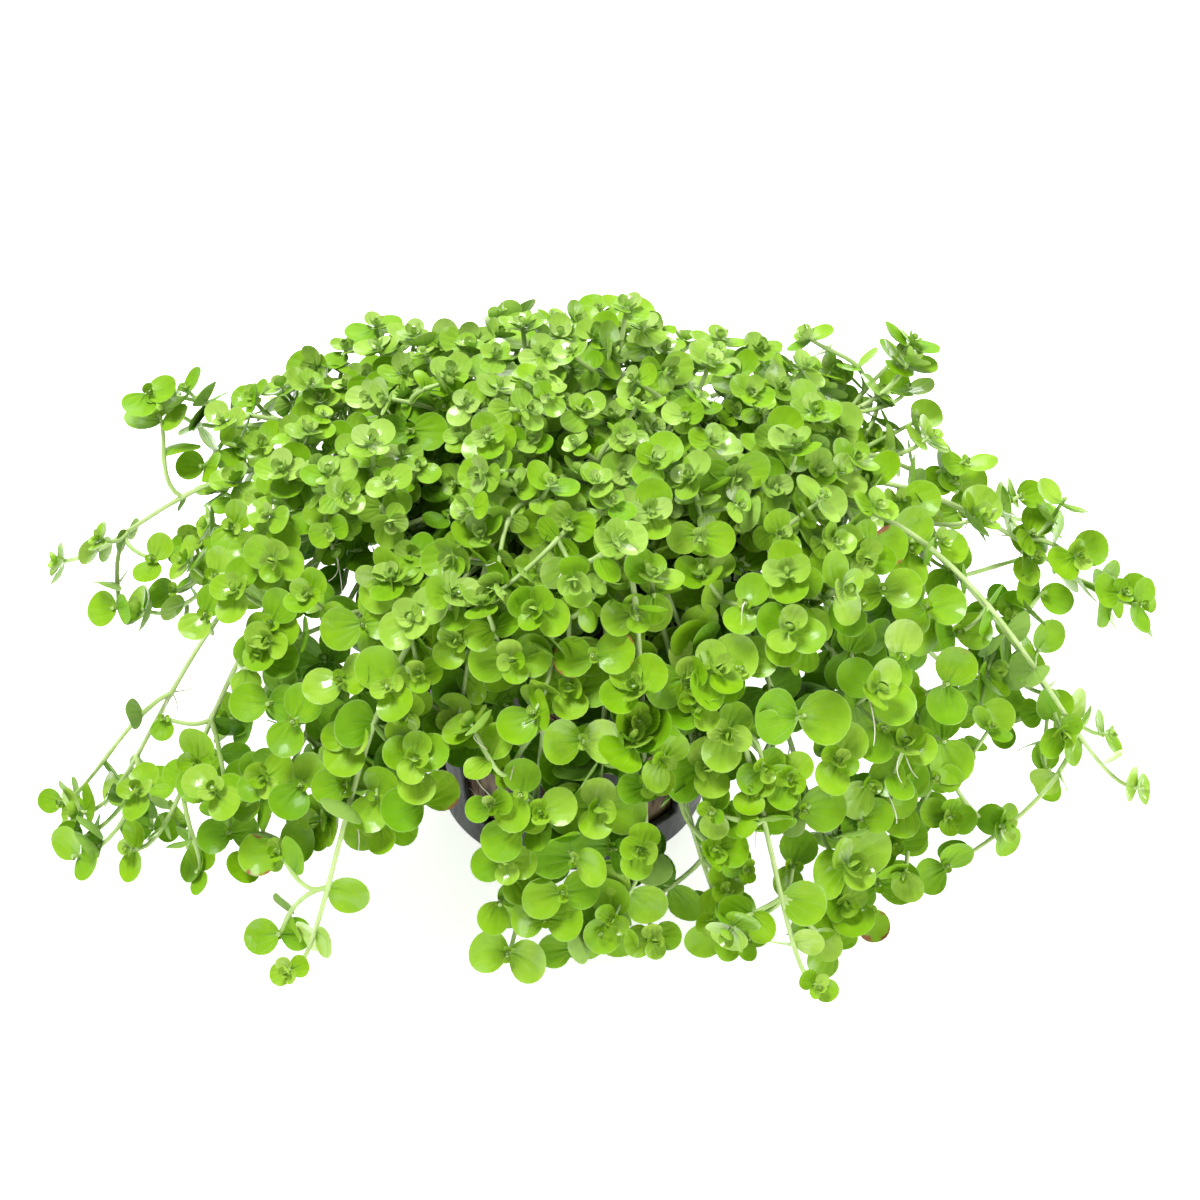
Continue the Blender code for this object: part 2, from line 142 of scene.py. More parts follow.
# The stems, by where their growing tips are
LEFT = [
    (-61, 25, 54, 55, 3, 7.5, 10), (-79, 15, 31, -5, 5, 6.5, 12), (-65, 4, 31, 35, 4, 8, 12),
    (-75, -14, 6, 35, 5, 8.5, 13), (-66, -22, 6, 35, 5, 8, 12), (-40, -47, 7, 50, 5, 8.5, 13),
    (-46, -25, 20, 40, 4, 8.5, 11), (-36, -31, 21, 40, 4, 8.5, 11), (-41, -15, 33, 45, 3, 8.5, 12),
    (-51, -12, 23, 30, 4, 9, 12), (-43, 21, 60, 60, 3, 7.5, 9), (-53, 13, 47, 45, 4, 7.5, 11),
]
FRONT = [
    (4, -39, 31, 50, 4, 9.5, 11), (18, -29, 50, 55, 3, 9, 9), (19, -35, 35, 50, 3, 9, 12),
    (-9, -25, 57, 58, 3, 8.5, 9), (-16, -31, 40, 50, 3, 9, 11), (-21, -30, 58, 55, 3, 8.5, 9),
    (34, -14, 48, 50, 3, 9, 10), (4, -19, 64, 65, 3, 7.5, 9), (0, -33, 48, 55, 4, 8.5, 9),
    (35, -49, 6, 45, 5, 8.5, 13), (25, -42, 8, 40, 4, 8, 13), (12, -43, 9, 50, 4, 8.5, 13),
    (-9, -44, 7, 40, 5, 9, 12), (40, -36, 17, 50, 4, 9.5, 12), (-27, -37, 26, 45, 4, 8.5, 11),
]
RIGHT = [
    (50, 22, 64, 65, 3, 8, 10), (53, 15, 55, 45, 3, 8.5, 10), (60, 6, 47, 35, 4, 8.5, 11),
    (74, 25, 33, 35, 4, 8.5, 13), (88, 10, 27, 15, 5, 8.5, 11), (83, -1, 10, 25, 5, 8, 13),
    (87, -10, 7, 20, 5, 7.5, 14), (65, -18, 7, 25, 4, 7.5, 14), (48, -17, 32, 45, 3, 9.5, 13),
    (63, -4, 25, 35, 4, 8.5, 12),
]
CROWN = [
    (-28, 18, 69, 65, 3, 7, 9), (-7, 18, 73, 75, 4, 7, 8), (8, 12, 80, 78, 4, 7, 9),
    (20, 10, 72, 70, 4, 7, 8), (34, 16, 67, 60, 3, 7.5, 9), (-31, -1, 64, 60, 3, 7.5, 9),
    (-15, -5, 70, 75, 4, 7, 7), (2, -3, 73, 80, 4, 7, 8), (22, -8, 67, 68, 4, 7.5, 7),
    (38, -3, 62, 55, 3, 8, 10), (-42, 3, 58, 55, 3, 7.5, 10), (-12, -14, 65, 70, 3, 7.5, 8),
]
BACK = [
    (-46, 44, 42, 35, 4, 8, 11), (-28, 36, 56, 50, 3, 7.5, 9), (-6, 34, 61, 60, 3, 7.5, 9),
    (17, 33, 60, 55, 3, 7.5, 9), (38, 42, 48, 40, 3, 8, 11), (-14, 57, 28, 30, 4, 8.5, 11),
    (14, 56, 32, 30, 4, 8.5, 11), (52, 52, 12, 35, 5, 8.5, 13), (-38, 60, 10, 35, 5, 8.5, 13),
]
STEMS = [Stem(*row) for row in LEFT + FRONT + RIGHT + CROWN + BACK]


class Shoot(NamedTuple):
    """A side shoot by the pixel that shows it, its outer leaves' length and their slant from level.

    Its inner pairs' size is 1 in a full rosette. Its depth is how far it lies behind the leafy surface.
    """

    px: float
    py: float
    leaf: float
    slant: float = 0.0
    inner: float = 1.0
    depth: float = 0.0


class TipLook(NamedTuple):
    """How the photograph shows a stem's closing rosette, in the same terms."""

    leaf: float
    inner: float = 1.0
    slant: float | None = None


class Layer(NamedTuple):
    """One depth of filling twigs: its reach in the plant, their spacing and their leaves' looks."""

    least: float
    most: float
    step: float
    spacing: float
    crown_spacing: float
    size: float
    inner: tuple
    age: float


class Blemish(NamedTuple):
    """A damaged leaf by the pixel that shows it, and how much of it is scorched."""

    px: float
    py: float
    scorch: float


class Strand(NamedTuple):
    """A white rootlet by the pixels that it starts and ends at."""

    px: float
    py: float
    to_px: float
    to_py: float


TIP_LOOKS = {1: TipLook(5.6), 2: TipLook(4.2), 3: TipLook(5.4), 4: TipLook(5.8), 5: TipLook(4.8, 0.7),
             6: TipLook(3.4), 22: TipLook(3.2), 23: TipLook(4.6), 24: TipLook(4.6),
             25: TipLook(6.4, 0.35, -14.0), 28: TipLook(5.4), 29: TipLook(5.0), 31: TipLook(5.2),
             32: TipLook(5.6, 0.7), 33: TipLook(5.0, 0.5), 34: TipLook(5.0, 0.5), 35: TipLook(4.4)}
# The deep layer's age of 0.34 darkens its leaves, partly as real age and partly as painted shade.
LAYERS = (Layer(0.58, 0.86, 3.0, 7.4, 6.2, 1.15, (0.3, 0.4), 0.34),
          Layer(0.88, 1.04, 6.0, 9.2, 7.0, 1.0, (1.0, 1.0, 0.9, 0.6), 0.0))
# Circles of the photograph, as pixel and radius, that show the pot, and that no leaf may fill
POT_SEEN = [
    (452, 782, 20), (473, 818, 24), (498, 842, 14), (682, 822, 20),
]
BARE_SEEN = [
    (325, 893, 34), (372, 835, 26), (228, 655, 20), (185, 700, 18), (150, 690, 18), (160, 482, 20),
    (770, 891, 25), (681, 864, 18), (650, 905, 22), (412, 842, 20), (1001, 571, 14), (995, 768, 24),
    (489, 891, 16), (659, 968, 20), (451, 826, 12), (123, 742, 20), (125, 488, 36), (977, 784, 20),
    (221, 367, 22), (1068, 668, 22), (205, 828, 12), (398, 858, 20), (604, 965, 14), (706, 965, 14),
    (198, 650, 12), (841, 344, 12), (770, 318, 20), (462, 303, 20), (569, 286, 18), (324, 337, 12),
    (676, 314, 14), (720, 310, 12), (405, 915, 36), (350, 895, 24), (27, 816, 18), (103, 684, 24),
    (968, 892, 22), (1102, 689, 18), (74, 764, 14), (985, 442, 12), (1027, 858, 16), (226, 884, 14),
    (1093, 522, 14), (84, 744, 24), (717, 998, 20), (150, 457, 20), (247, 359, 16), (977, 874, 14),
    (28, 793, 16), (80, 609, 12), (1083, 779, 12), (728, 314, 12), (309, 343, 10),
]
SHOOTS = [Shoot(*row) for row in (
    (640, 850, 4.6, 80), (572, 862, 6.2, -8, 0.3), (563, 893, 5.6, 10, 0.4), (612, 920, 5.8, 60, 0.7),
    (600, 935, 6, -70, 0.4), (715, 850, 5.8, 20, 0.6), (728, 890, 6, -60, 0.6), (712, 925, 5.6, 75, 0.8),
    (755, 820, 6.2, 15, 0.4), (880, 885, 6.6, 10, 0.3), (870, 912, 5.2, -60, 0.4), (805, 812, 6.6, 5, 0.3),
    (888, 795, 6, -10, 0.4), (895, 843, 5.2, 30, 0.6), (790, 780, 4.6, 60, 0.8), (840, 760, 5.6, 60, 0.8),
    (765, 770, 4.8, 40, 0.7), (825, 925, 5.4, 20, 0.4), (490, 806, 3.9, 20, 0.6), (520, 795, 5.4, 75, 0.3),
    (540, 812, 5, 10, 0.7), (518, 828, 5.6, 30, 0.3), (505, 862, 5, 5, 0.9), (648, 785, 4.6, 10, 0.6),
    (665, 762, 5, 60, 0.6), (583, 742, 6.6, 5, 0.3), (640, 722, 5.2, 15, 0.9), (532, 712, 6, 40, 0.3),
    (512, 660, 5.6, 10, 0.9), (592, 655, 6, 5, 0.3), (455, 640, 4.8, 60, 0.8), (545, 570, 5, 10, 0.9),
    (560, 540, 6, -30), (480, 532, 4.4, 10), (450, 557, 4.6, 20), (612, 545, 4.8, 30, 0.8),
    (612, 573, 3.8, 0), (636, 613, 4.8, 5, 0.9), (700, 540, 5, 0, 0.6), (745, 603, 4.8, 80, 0.4),
    (812, 640, 5, 70, 0.5), (718, 668, 6.2, 30), (688, 680, 5.8, 10, 0.8), (698, 710, 5.2, 40),
    (728, 735, 5.2, 70), (805, 715, 7.4, 5, 0.2), (902, 655, 5.8, 80, 0.3), (912, 548, 6.8, 80, 0.4),
    (928, 605, 6.4, 20, 0.3), (378, 580, 5.4, 70), (266, 640, 5.4, 60), (362, 625, 5.6, 5, 0.3),
    (338, 678, 5.8, 20, 0.4), (348, 738, 5.8, 80), (418, 675, 4, 20), (405, 718, 4, 60), (262, 778, 4.8, 40),
    (275, 850, 6, 15, 0.5), (300, 785, 5.4, 60, 0.3), (376, 798, 5.2, 70, 0.4), (423, 800, 6, 20, 0.2),
    (345, 785, 5, 10, 0.6), (470, 690, 6.2, 20, 0.3, 7), (505, 705, 6.4, 70, 0.3, 6),
    (548, 690, 6.6, 10, 0.3, 7), (600, 690, 6.4, 50, 0.3, 7), (470, 735, 6, 60, 0.3, 6),
    (520, 745, 6.6, 0, 0.3, 6), (560, 760, 6.4, 40, 0.3, 6), (605, 765, 6.2, 10, 0.3, 6),
    (640, 680, 6.4, 70, 0.3, 7), (545, 640, 6.4, 60, 0.3, 8), (500, 630, 6.2, 30, 0.3, 8),
    (590, 615, 6.4, 20, 0.3, 8), (640, 760, 6.4, 80, 0.3, 5), (560, 800, 6, 70, 0.3, 4),
    (610, 850, 5.8, 0, 0.3, 4), (545, 850, 5.6, 60, 0.3, 3), (455, 665, 6, 10, 0.3, 6),
    (400, 655, 6, 40, 0.3, 6), (400, 760, 6, 10, 0.3, 5), (680, 640, 6.4, 20, 0.3, 8),
    (720, 620, 6.4, 60, 0.3, 8), (760, 650, 6.6, 10, 0.3, 7), (770, 690, 6.6, 50, 0.3, 6),
    (700, 735, 6.2, 0, 0.3, 6), (150, 392, 4.8, 20, 0.5, 1), (184, 386, 5.2, 70, 0.4, 1),
    (158, 414, 5.4, -20, 0.3, 1), (252, 395, 3.8, 20, 0.8), (238, 442, 4.8, 60), (192, 540, 4.8, 20),
    (152, 558, 4.2, 70, 0.4), (205, 614, 4.8, 60, 0.4), (257, 655, 5.2, 0, 0.8), (270, 622, 5.2, 50, 0.4),
    (213, 575, 4.8, 80, 0.5), (250, 545, 4.6, 30, 0.8), (260, 500, 4.6, 70, 0.8), (267, 704, 5.8, 0, 0.2),
    (163, 718, 3.6, 80, 0.4), (195, 764, 5.6, 80, 0.7), (137, 784, 5.8, 10, 0.4), (150, 828, 5, 0, 0.2),
    (187, 848, 5.6, 75, 0.1), (278, 935, 5.2, 10, 0.2, 1), (292, 722, 5.6, 60, 0.3),
    (914, 338, 5, 10, 0.8, 1), (884, 388, 4.6, 60, 0.4), (921, 418, 4.8, 40, 0.6), (956, 478, 5.6, 10, 0.3),
    (962, 507, 5.6, 30, 0.7), (952, 568, 5.4, 60, 0.3), (1036, 555, 5.2, 70, 0.6), (1034, 530, 4.8, 60, 0.2),
    (1079, 555, 5.4, 30, 0.8), (1046, 592, 5.8, -25, 0.2), (992, 605, 4.8, 40, 0.4),
    (990, 652, 4.4, 20, 0.9), (1018, 678, 5.6, 60, 0.2), (1046, 710, 4.8, 20, 0.2), (960, 632, 5.8, 20, 0.4),
    (948, 684, 6.2, 60, 0.2), (945, 742, 6.4, -60, 0.2), (937, 778, 5.2, 10, 0.3), (907, 798, 6.2, 70, 0.2),
    (873, 785, 5.6, 60, 0.5), (984, 712, 5.4, 0, 0.3), (1125, 590, 5.4, 10, 0.6, 1),
    (1145, 604, 4.8, 60, 0.5, 1), (345, 346, 4.4, 60), (312, 366, 4.6, 0), (417, 336, 4.4, 30),
    (440, 344, 4.2, 70), (470, 342, 4.4, 0), (500, 332, 4.6, 30), (560, 332, 4.6, 0), (595, 334, 4.8, 50),
    (577, 318, 4.6, 20), (655, 328, 4.4, 20), (720, 336, 4.4, 0), (760, 346, 4.6, 40), (835, 368, 4.6, 60),
    (850, 404, 4.8, 30), (838, 432, 4.8, 60), (872, 440, 4.8, 0), (742, 668, 6, 30, 0.3),
    (748, 870, 5, 0, 0.6), (710, 813, 5, 60, 0.6), (330, 395, 4.4, 0), (365, 375, 4.4, 70),
    (405, 370, 4.4, 20), (450, 372, 4.4, 60), (545, 352, 4.4, 20), (615, 350, 4.4, 70), (668, 372, 4.4, 0),
    (735, 372, 4.4, 50), (780, 385, 4.6, 20), (300, 430, 4.6, 70), (820, 470, 5.2, 20), (868, 480, 5.4, 70),
    (905, 500, 5.6, 10, 0.5), (775, 440, 5, 60), (738, 480, 5.4, 10), (112, 608, 5.2, 0, 0.2, 1),
    (172, 588, 4.8, 10, 0.4), (200, 466, 4.8, 0, 0.2), (230, 526, 4.6, 60, 0.5), (228, 833, 5.6, 10, 0.3),
    (252, 860, 6, 30, 0.2), (78, 838, 5.6, -30, 0.2, 1), (58, 802, 5.2, 0, 0.3, 1), (948, 866, 5.2, 20, 0.3),
    (1050, 770, 5, 80, 0.2), (908, 385, 4.4, 20, 0.4), (1066, 498, 5, -40, 0.2), (1022, 494, 4.8, 10, 0.3),
    (1014, 616, 4.4, 60, 0.6), (1040, 650, 5.4, 60, 0.1), (878, 556, 5.6, 20, 0.4), (858, 598, 5.6, 70, 0.4),
    (884, 588, 5.4, 10, 0.3), (822, 505, 5.4, 20, 0.6), (840, 545, 5.4, 50, 0.6), (885, 728, 5.6, 60, 0.3),
    (794, 866, 5.2, 70, 0.4), (968, 459, 4.8, 20, 0.3), (862, 820, 5.6, 20, 0.4), (750, 790, 5.4, 60, 0.4),
    (1011, 722, 4.8, 70, 0.2), (852, 655, 6, 60, 0.2, 4), (376, 386, 5, 30, 0.4, 4),
    (444, 406, 5, 70, 0.4, 5), (368, 462, 5.2, 10, 0.4, 5), (328, 448, 5, 50, 0.4, 4),
    (364, 514, 5.4, 20, 0.4, 5), (410, 430, 5, 0, 0.4, 5), (310, 505, 5.2, 70, 0.3, 4),
    (500, 905, 5.4, 70, 0.2, 1), (545, 920, 5.6, 0, 0.4), (572, 952, 5.4, 10, 0.3),
    (196, 872, 4.6, -70, 0.15, 1), (834, 950, 5, 60, 0.3), (72, 856, 5.2, -40, 0.2, 1),
    (376, 322, 4.6, 40, 0.8),
)]
BLEMISHES = [Blemish(*row) for row in (
    (560, 665, 0.5), (615, 655, 0.46), (436, 800, 0.5), (875, 925, 0.66), (268, 752, 0.55), (953, 668, 0.44),
    (885, 545, 0.46), (975, 542, 0.7), (245, 860, 0.5),
)]
STRANDS = [Strand(*row) for row in (
    (333, 572, 327, 602), (334, 572, 342, 614), (477, 735, 488, 750), (764, 520, 759, 546),
    (870, 630, 856, 682), (890, 800, 898, 828), (863, 690, 868, 740), (868, 660, 876, 700),
    (756, 600, 752, 622), (560, 560, 553, 583), (880, 640, 850, 686), (847, 645, 848, 664),
    (900, 745, 897, 780), (910, 752, 923, 782), (911, 820, 915, 848), (799, 738, 795, 757),
    (733, 682, 733, 699), (540, 500, 543, 520), (690, 800, 694, 818), (525, 772, 520, 792),
    (1008, 548, 975, 540),
)]


def pot_radius(height: float) -> float:
    """Give the pot's outer radius at a height."""
    return POT_BASE_RADIUS + (POT_TOP_RADIUS - POT_BASE_RADIUS) * height / POT_HEIGHT


def bezier(points: list[Vector], t: float) -> Vector:
    """Give the point at a share of the way along a Bezier curve."""
    while len(points) > 1:
        points = [a.lerp(b, t) for a, b in zip(points, points[1:])]
    return points[0]


def smooth(value: float, low: float, high: float) -> float:
    """Rise smoothly from 0 at low to 1 at high."""
    t = max(0.0, min(1.0, (value - low) / (high - low)))
    return t * t * (3.0 - 2.0 * t)


def line_along(handles: list[Vector], steps: int) -> list[Vector]:
    """Give points along a Bezier curve, from its first handle to its last."""
    return [bezier(handles, i / steps) for i in range(steps + 1)]


def square_to(direction: Vector, axis: Vector) -> Vector:
    """Turn a direction square to an axis."""
    return (direction - axis * direction.dot(axis)).normalized()


def stray(chance: random.Random, spread: float) -> Vector:
    """Give a small offset by chance."""
    return Vector([chance.gauss(0, spread) for _ in range(3)])


def crown_share(point: Vector) -> float:
    """Say how far a point belongs to the crown: 0 below it and 1 on it."""
    return smooth(point.z, *CROWN_RISE)


class StemLine:
    """A stem's smooth middle line, from its root up, over the rim and out to its tip."""

    STEPS = 60

    def __init__(self, stem: Stem, root: Vector, bow: float, lift: float) -> None:
        """Draw the line.

        Args:
            stem: the stem, by its tip.
            root: where it leaves the plug, seen from above.
            bow: how far it swings sideways.
            lift: how far it rises above its usual crest.
        """
        tip = Vector((stem.x, stem.y, stem.z))
        foot = Vector((root.x, root.y, PLUG_TOP + STEM_GAP))
        out = Vector((tip.x - foot.x, tip.y - foot.y, 0.0))
        reach = out.length
        out.normalize()
        self.side = Vector((-out.y, out.x, 0.0))
        rise = radians(stem.rise)
        handle = min(TIP_HANDLE * (tip - foot).length, LONGEST_TIP_HANDLE)
        before_tip = tip - (out * cos(rise) + Vector((0, 0, sin(rise)))) * handle
        upright = max(0.0, min(1.0, (stem.z - UPRIGHT_FROM) / (UPRIGHT_BY - UPRIGHT_FROM)))
        crest = CREST_HEIGHT * (1 - upright) + (foot.z + tip.z) / 2 * upright + lift
        rising = foot + out * RISING[0] * reach + self.side * RISING[1] * bow
        rising.z += RISING[2] * (crest - foot.z)
        shoulder = foot + out * SHOULDER_REACH * reach + self.side * bow
        shoulder.z = crest
        handles = [foot, rising, shoulder, before_tip, tip]
        self.points = line_along(handles, self.STEPS)
        lowest = GROUND + STEM_RADIUS
        for point in self.points:
            point.z = max(point.z, lowest)
        self.lengths = [0.0]
        for a, b in zip(self.points, self.points[1:]):
            self.lengths.append(self.lengths[-1] + (b - a).length)
        self.length = self.lengths[-1]

    def at(self, distance: float) -> tuple[Vector, Vector]:
        """Give the point and the growing direction at a distance from the root."""
        distance = max(0.0, min(self.length, distance))
        i = 0
        while i < self.STEPS - 1 and self.lengths[i + 1] < distance:
            i += 1
        a, b = self.points[i], self.points[i + 1]
        share = (distance - self.lengths[i]) / (self.lengths[i + 1] - self.lengths[i])
        before = self.points[max(0, i - 1)]
        after = self.points[min(self.STEPS, i + 2)]
        return a.lerp(b, share), (after - before).normalized()

    def frame(self, distance: float, roll: float) -> tuple[Vector, Vector, Vector, Vector]:
        """Give the point, the growing direction and two square sides, turned by a roll."""
        point, along = self.at(distance)
        side = Matrix.Rotation(roll, 3, along) @ square_to(self.side, along)
        return point, along, side, along.cross(side)


@dataclass
class StemPlan:
    """Leads all the stems out of the plug by the same rules as the solids."""

    stems: list[Stem]

    def roots(self) -> list[Vector]:
        """Spread the stems' roots over the plug, each on the side its tip leans to."""
        points = []
        for stem in self.stems:
            lean = degrees(atan2(hypot(stem.x, stem.y), stem.z - PLUG_TOP))
            side = Vector((stem.x, stem.y)).normalized()
            points.append(side * ROOT_SPREAD * min(lean / WIDEST_LEAN, 1.0))
        for _ in range(ROOT_SETTLING):
            for i, first in enumerate(points):
                for second in points[:i]:
                    apart = first - second
                    if apart.length < ROOT_SPACING:
                        push = apart.normalized() * (ROOT_SPACING - apart.length) / 2
                        first += push
                        second -= push
            for point in points:
                point *= min(1.0, ROOT_SPREAD / point.length)
        return points

    @staticmethod
    def straight_runs(stem: Stem, line: StemLine) -> list[Vector]:
        """Give points along the straight lengths that the stem's solid is drawn with."""
        rosette = line.length - 2 * NODE_LENGTH
        starts = [rosette - stem.spacing * i for i in reversed(range(stem.pairs - 1))]
        ends = [0.0]
        heading = line.at(0.0)[1]
        for i in range(1, int(starts[0])):
            ahead = line.at(float(i))[1]
            if ahead.angle(heading) > BEND_STEP and starts[0] - i > SHORTEST_BEND:
                ends.append(float(i))
                heading = ahead
        for start in starts:
            ends += [start, start + NODE_LENGTH]
        corners = [line.at(end)[0] for end in ends + [line.length]]
        points = []
        for a, b in zip(corners, corners[1:]):
            steps = max(1, round((b - a).length))
            points += [a.lerp(b, i / steps) for i in range(steps)]
        return points + [corners[-1]]

    @staticmethod
    def is_clear(points: list[Vector], taken: KDTree) -> bool:
        """Test a stem's points against the pot's rim and the stems before it."""
        for point in points:
            radius = hypot(point.x, point.y)
            near_rim = POT_TOP_RADIUS - POT_WALL - RIM_ROOM < radius < RIM_RADIUS + RIM_ROOM
            if near_rim and point.z < POT_HEIGHT + RIM_ROOM:
                return False
            if taken.find(point)[2] < STEM_ROOM:
                return False
        return True

    def lines(self) -> list[StemLine]:
        """Lead every stem out over the rim, bowed or higher where another is in its way."""
        lines = []
        taken_points = [Vector((0.0, 0.0, -POT_HEIGHT))]
        for stem, root in zip(self.stems, self.roots()):
            taken = KDTree(len(taken_points))
            for i, point in enumerate(taken_points):
                taken.insert(point, i)
            taken.balance()
            tries = (StemLine(stem, root, bow, lift) for lift in PATH_LIFTS for bow in PATH_BOWS)
            line = next(line for line in tries if self.is_clear(self.straight_runs(stem, line), taken))
            taken_points += self.straight_runs(stem, line)
            lines.append(line)
        return lines


@dataclass(frozen=True)
class PhotoView:
    """The photograph's camera, which looks along +Y and down, in millimetres and in pixels of its frame."""

    elevation: float = 40.0
    place: tuple = (4.2156, -304.075, 291.021)
    focal: float = 2690.0
    frame: float = 1200.0
    nearest: float = 320.0
    farthest: float = 520.0

    def axes(self) -> tuple[Vector, Vector, Vector]:
        """Give the directions to the right, up and forward in the view."""
        angle = radians(self.elevation)
        forward = Vector((0.0, cos(angle), -sin(angle)))
        return Vector((1.0, 0.0, 0.0)), Vector((0.0, sin(angle), cos(angle))), forward

    def slanted(self, degrees: float) -> Vector:
        """Give the direction in the view at a slant from level."""
        right, up, _ = self.axes()
        return right * cos(radians(degrees)) + up * sin(radians(degrees))

    def seen(self, point: Vector) -> tuple[float, float]:
        """Give the pixel that a point is seen at."""
        right, up, forward = self.axes()
        offset = point - Vector(self.place)
        k = self.focal / offset.dot(forward)
        return self.frame / 2 + k * offset.dot(right), self.frame / 2 - k * offset.dot(up)

    def target(self, px: float, py: float, behind: float = 0.0) -> Vector:
        """Give the point of the plant's leafy surface, or the nearest to it, that a pixel looks at.

        Args:
            px: the pixel's column.
            py: its row.
            behind: how far behind the surface to look.

        Returns:
            The point in millimetres.
        """
        right, up, forward = self.axes()
        middle = self.frame / 2
        ray = forward + right * ((px - middle) / self.focal) - up * ((py - middle) / self.focal)
        depth, least = self.nearest, inf
        while depth < self.farthest and least >= 1.0:
            point = Vector(self.place) + ray * depth
            if leafy_reach(point) < least:
                least, closest = leafy_reach(point), point
            if point.z < 5.0:
                break
            depth += 0.5
        return closest + ray * behind


VIEW = PhotoView()


def place_object(name: str, data: bpy.types.ID) -> Object:
    """Put a mesh, lamp or camera in the scene."""
    placed = bpy.data.objects.new(name, data)
    bpy.context.scene.collection.objects.link(placed)
    return placed


def close_mesh(bm: BMesh, name: str) -> Mesh:
    """Turn what was drawn into a named mesh."""
    mesh = bpy.data.meshes.new(name)
    bm.to_mesh(mesh)
    bm.free()
    return mesh


def skin_rings(bm: BMesh, rings: list[list], is_open: Callable = lambda ring, column: False) -> None:
    """Lay faces between rings of points, where a ring may be one point, and leave out the open ones."""
    for r, (low, high) in enumerate(zip(rings, rings[1:])):
        for c in range(len(low)):
            d = (c + 1) % len(low)
            if not is_open(r, c):
                bm.faces.new(list(dict.fromkeys([low[c], low[d], high[d], high[c]])))


class PatternSet:
    """Hidden meshes that Geometry Nodes copy, in a collection of their own."""

    def __init__(self, name: str, patterns: Iterable) -> None:
        """Collect the patterns, in their order."""
        self.collection = bpy.data.collections.new(name)
        for pattern in patterns:
            self.collection.objects.link(pattern)

    def remove(self) -> None:
        """Remove them once they are copied."""
        for pattern in list(self.collection.objects):
            bpy.data.objects.remove(pattern)
        bpy.data.collections.remove(self.collection)


def operator(operation: str, backwards: bool = False) -> Callable:
    """Make an operator of Value that adds a math node."""

    def operate(value: "Value", other: object = 0.0) -> "Value":
        """Add the node and give its result."""
        return value.graph.math(operation, *((other, value) if backwards else (value, other)))

    return operate


class Value:
    """A node's output, with which a sum adds its own nodes."""

    def __init__(self, graph: "Graph", socket: NodeSocket) -> None:
        """Stand for a socket of a graph."""
        self.graph = graph
        self.socket = socket

    __add__ = operator("ADD")
    __sub__ = operator("SUBTRACT")
    __rsub__ = operator("SUBTRACT", backwards=True)
    __mul__ = operator("MULTIPLY")
    __truediv__ = operator("DIVIDE")
    __pow__ = operator("POWER")
    __gt__ = operator("GREATER_THAN")
    __lt__ = operator("LESS_THAN")
    __abs__ = operator("ABSOLUTE")


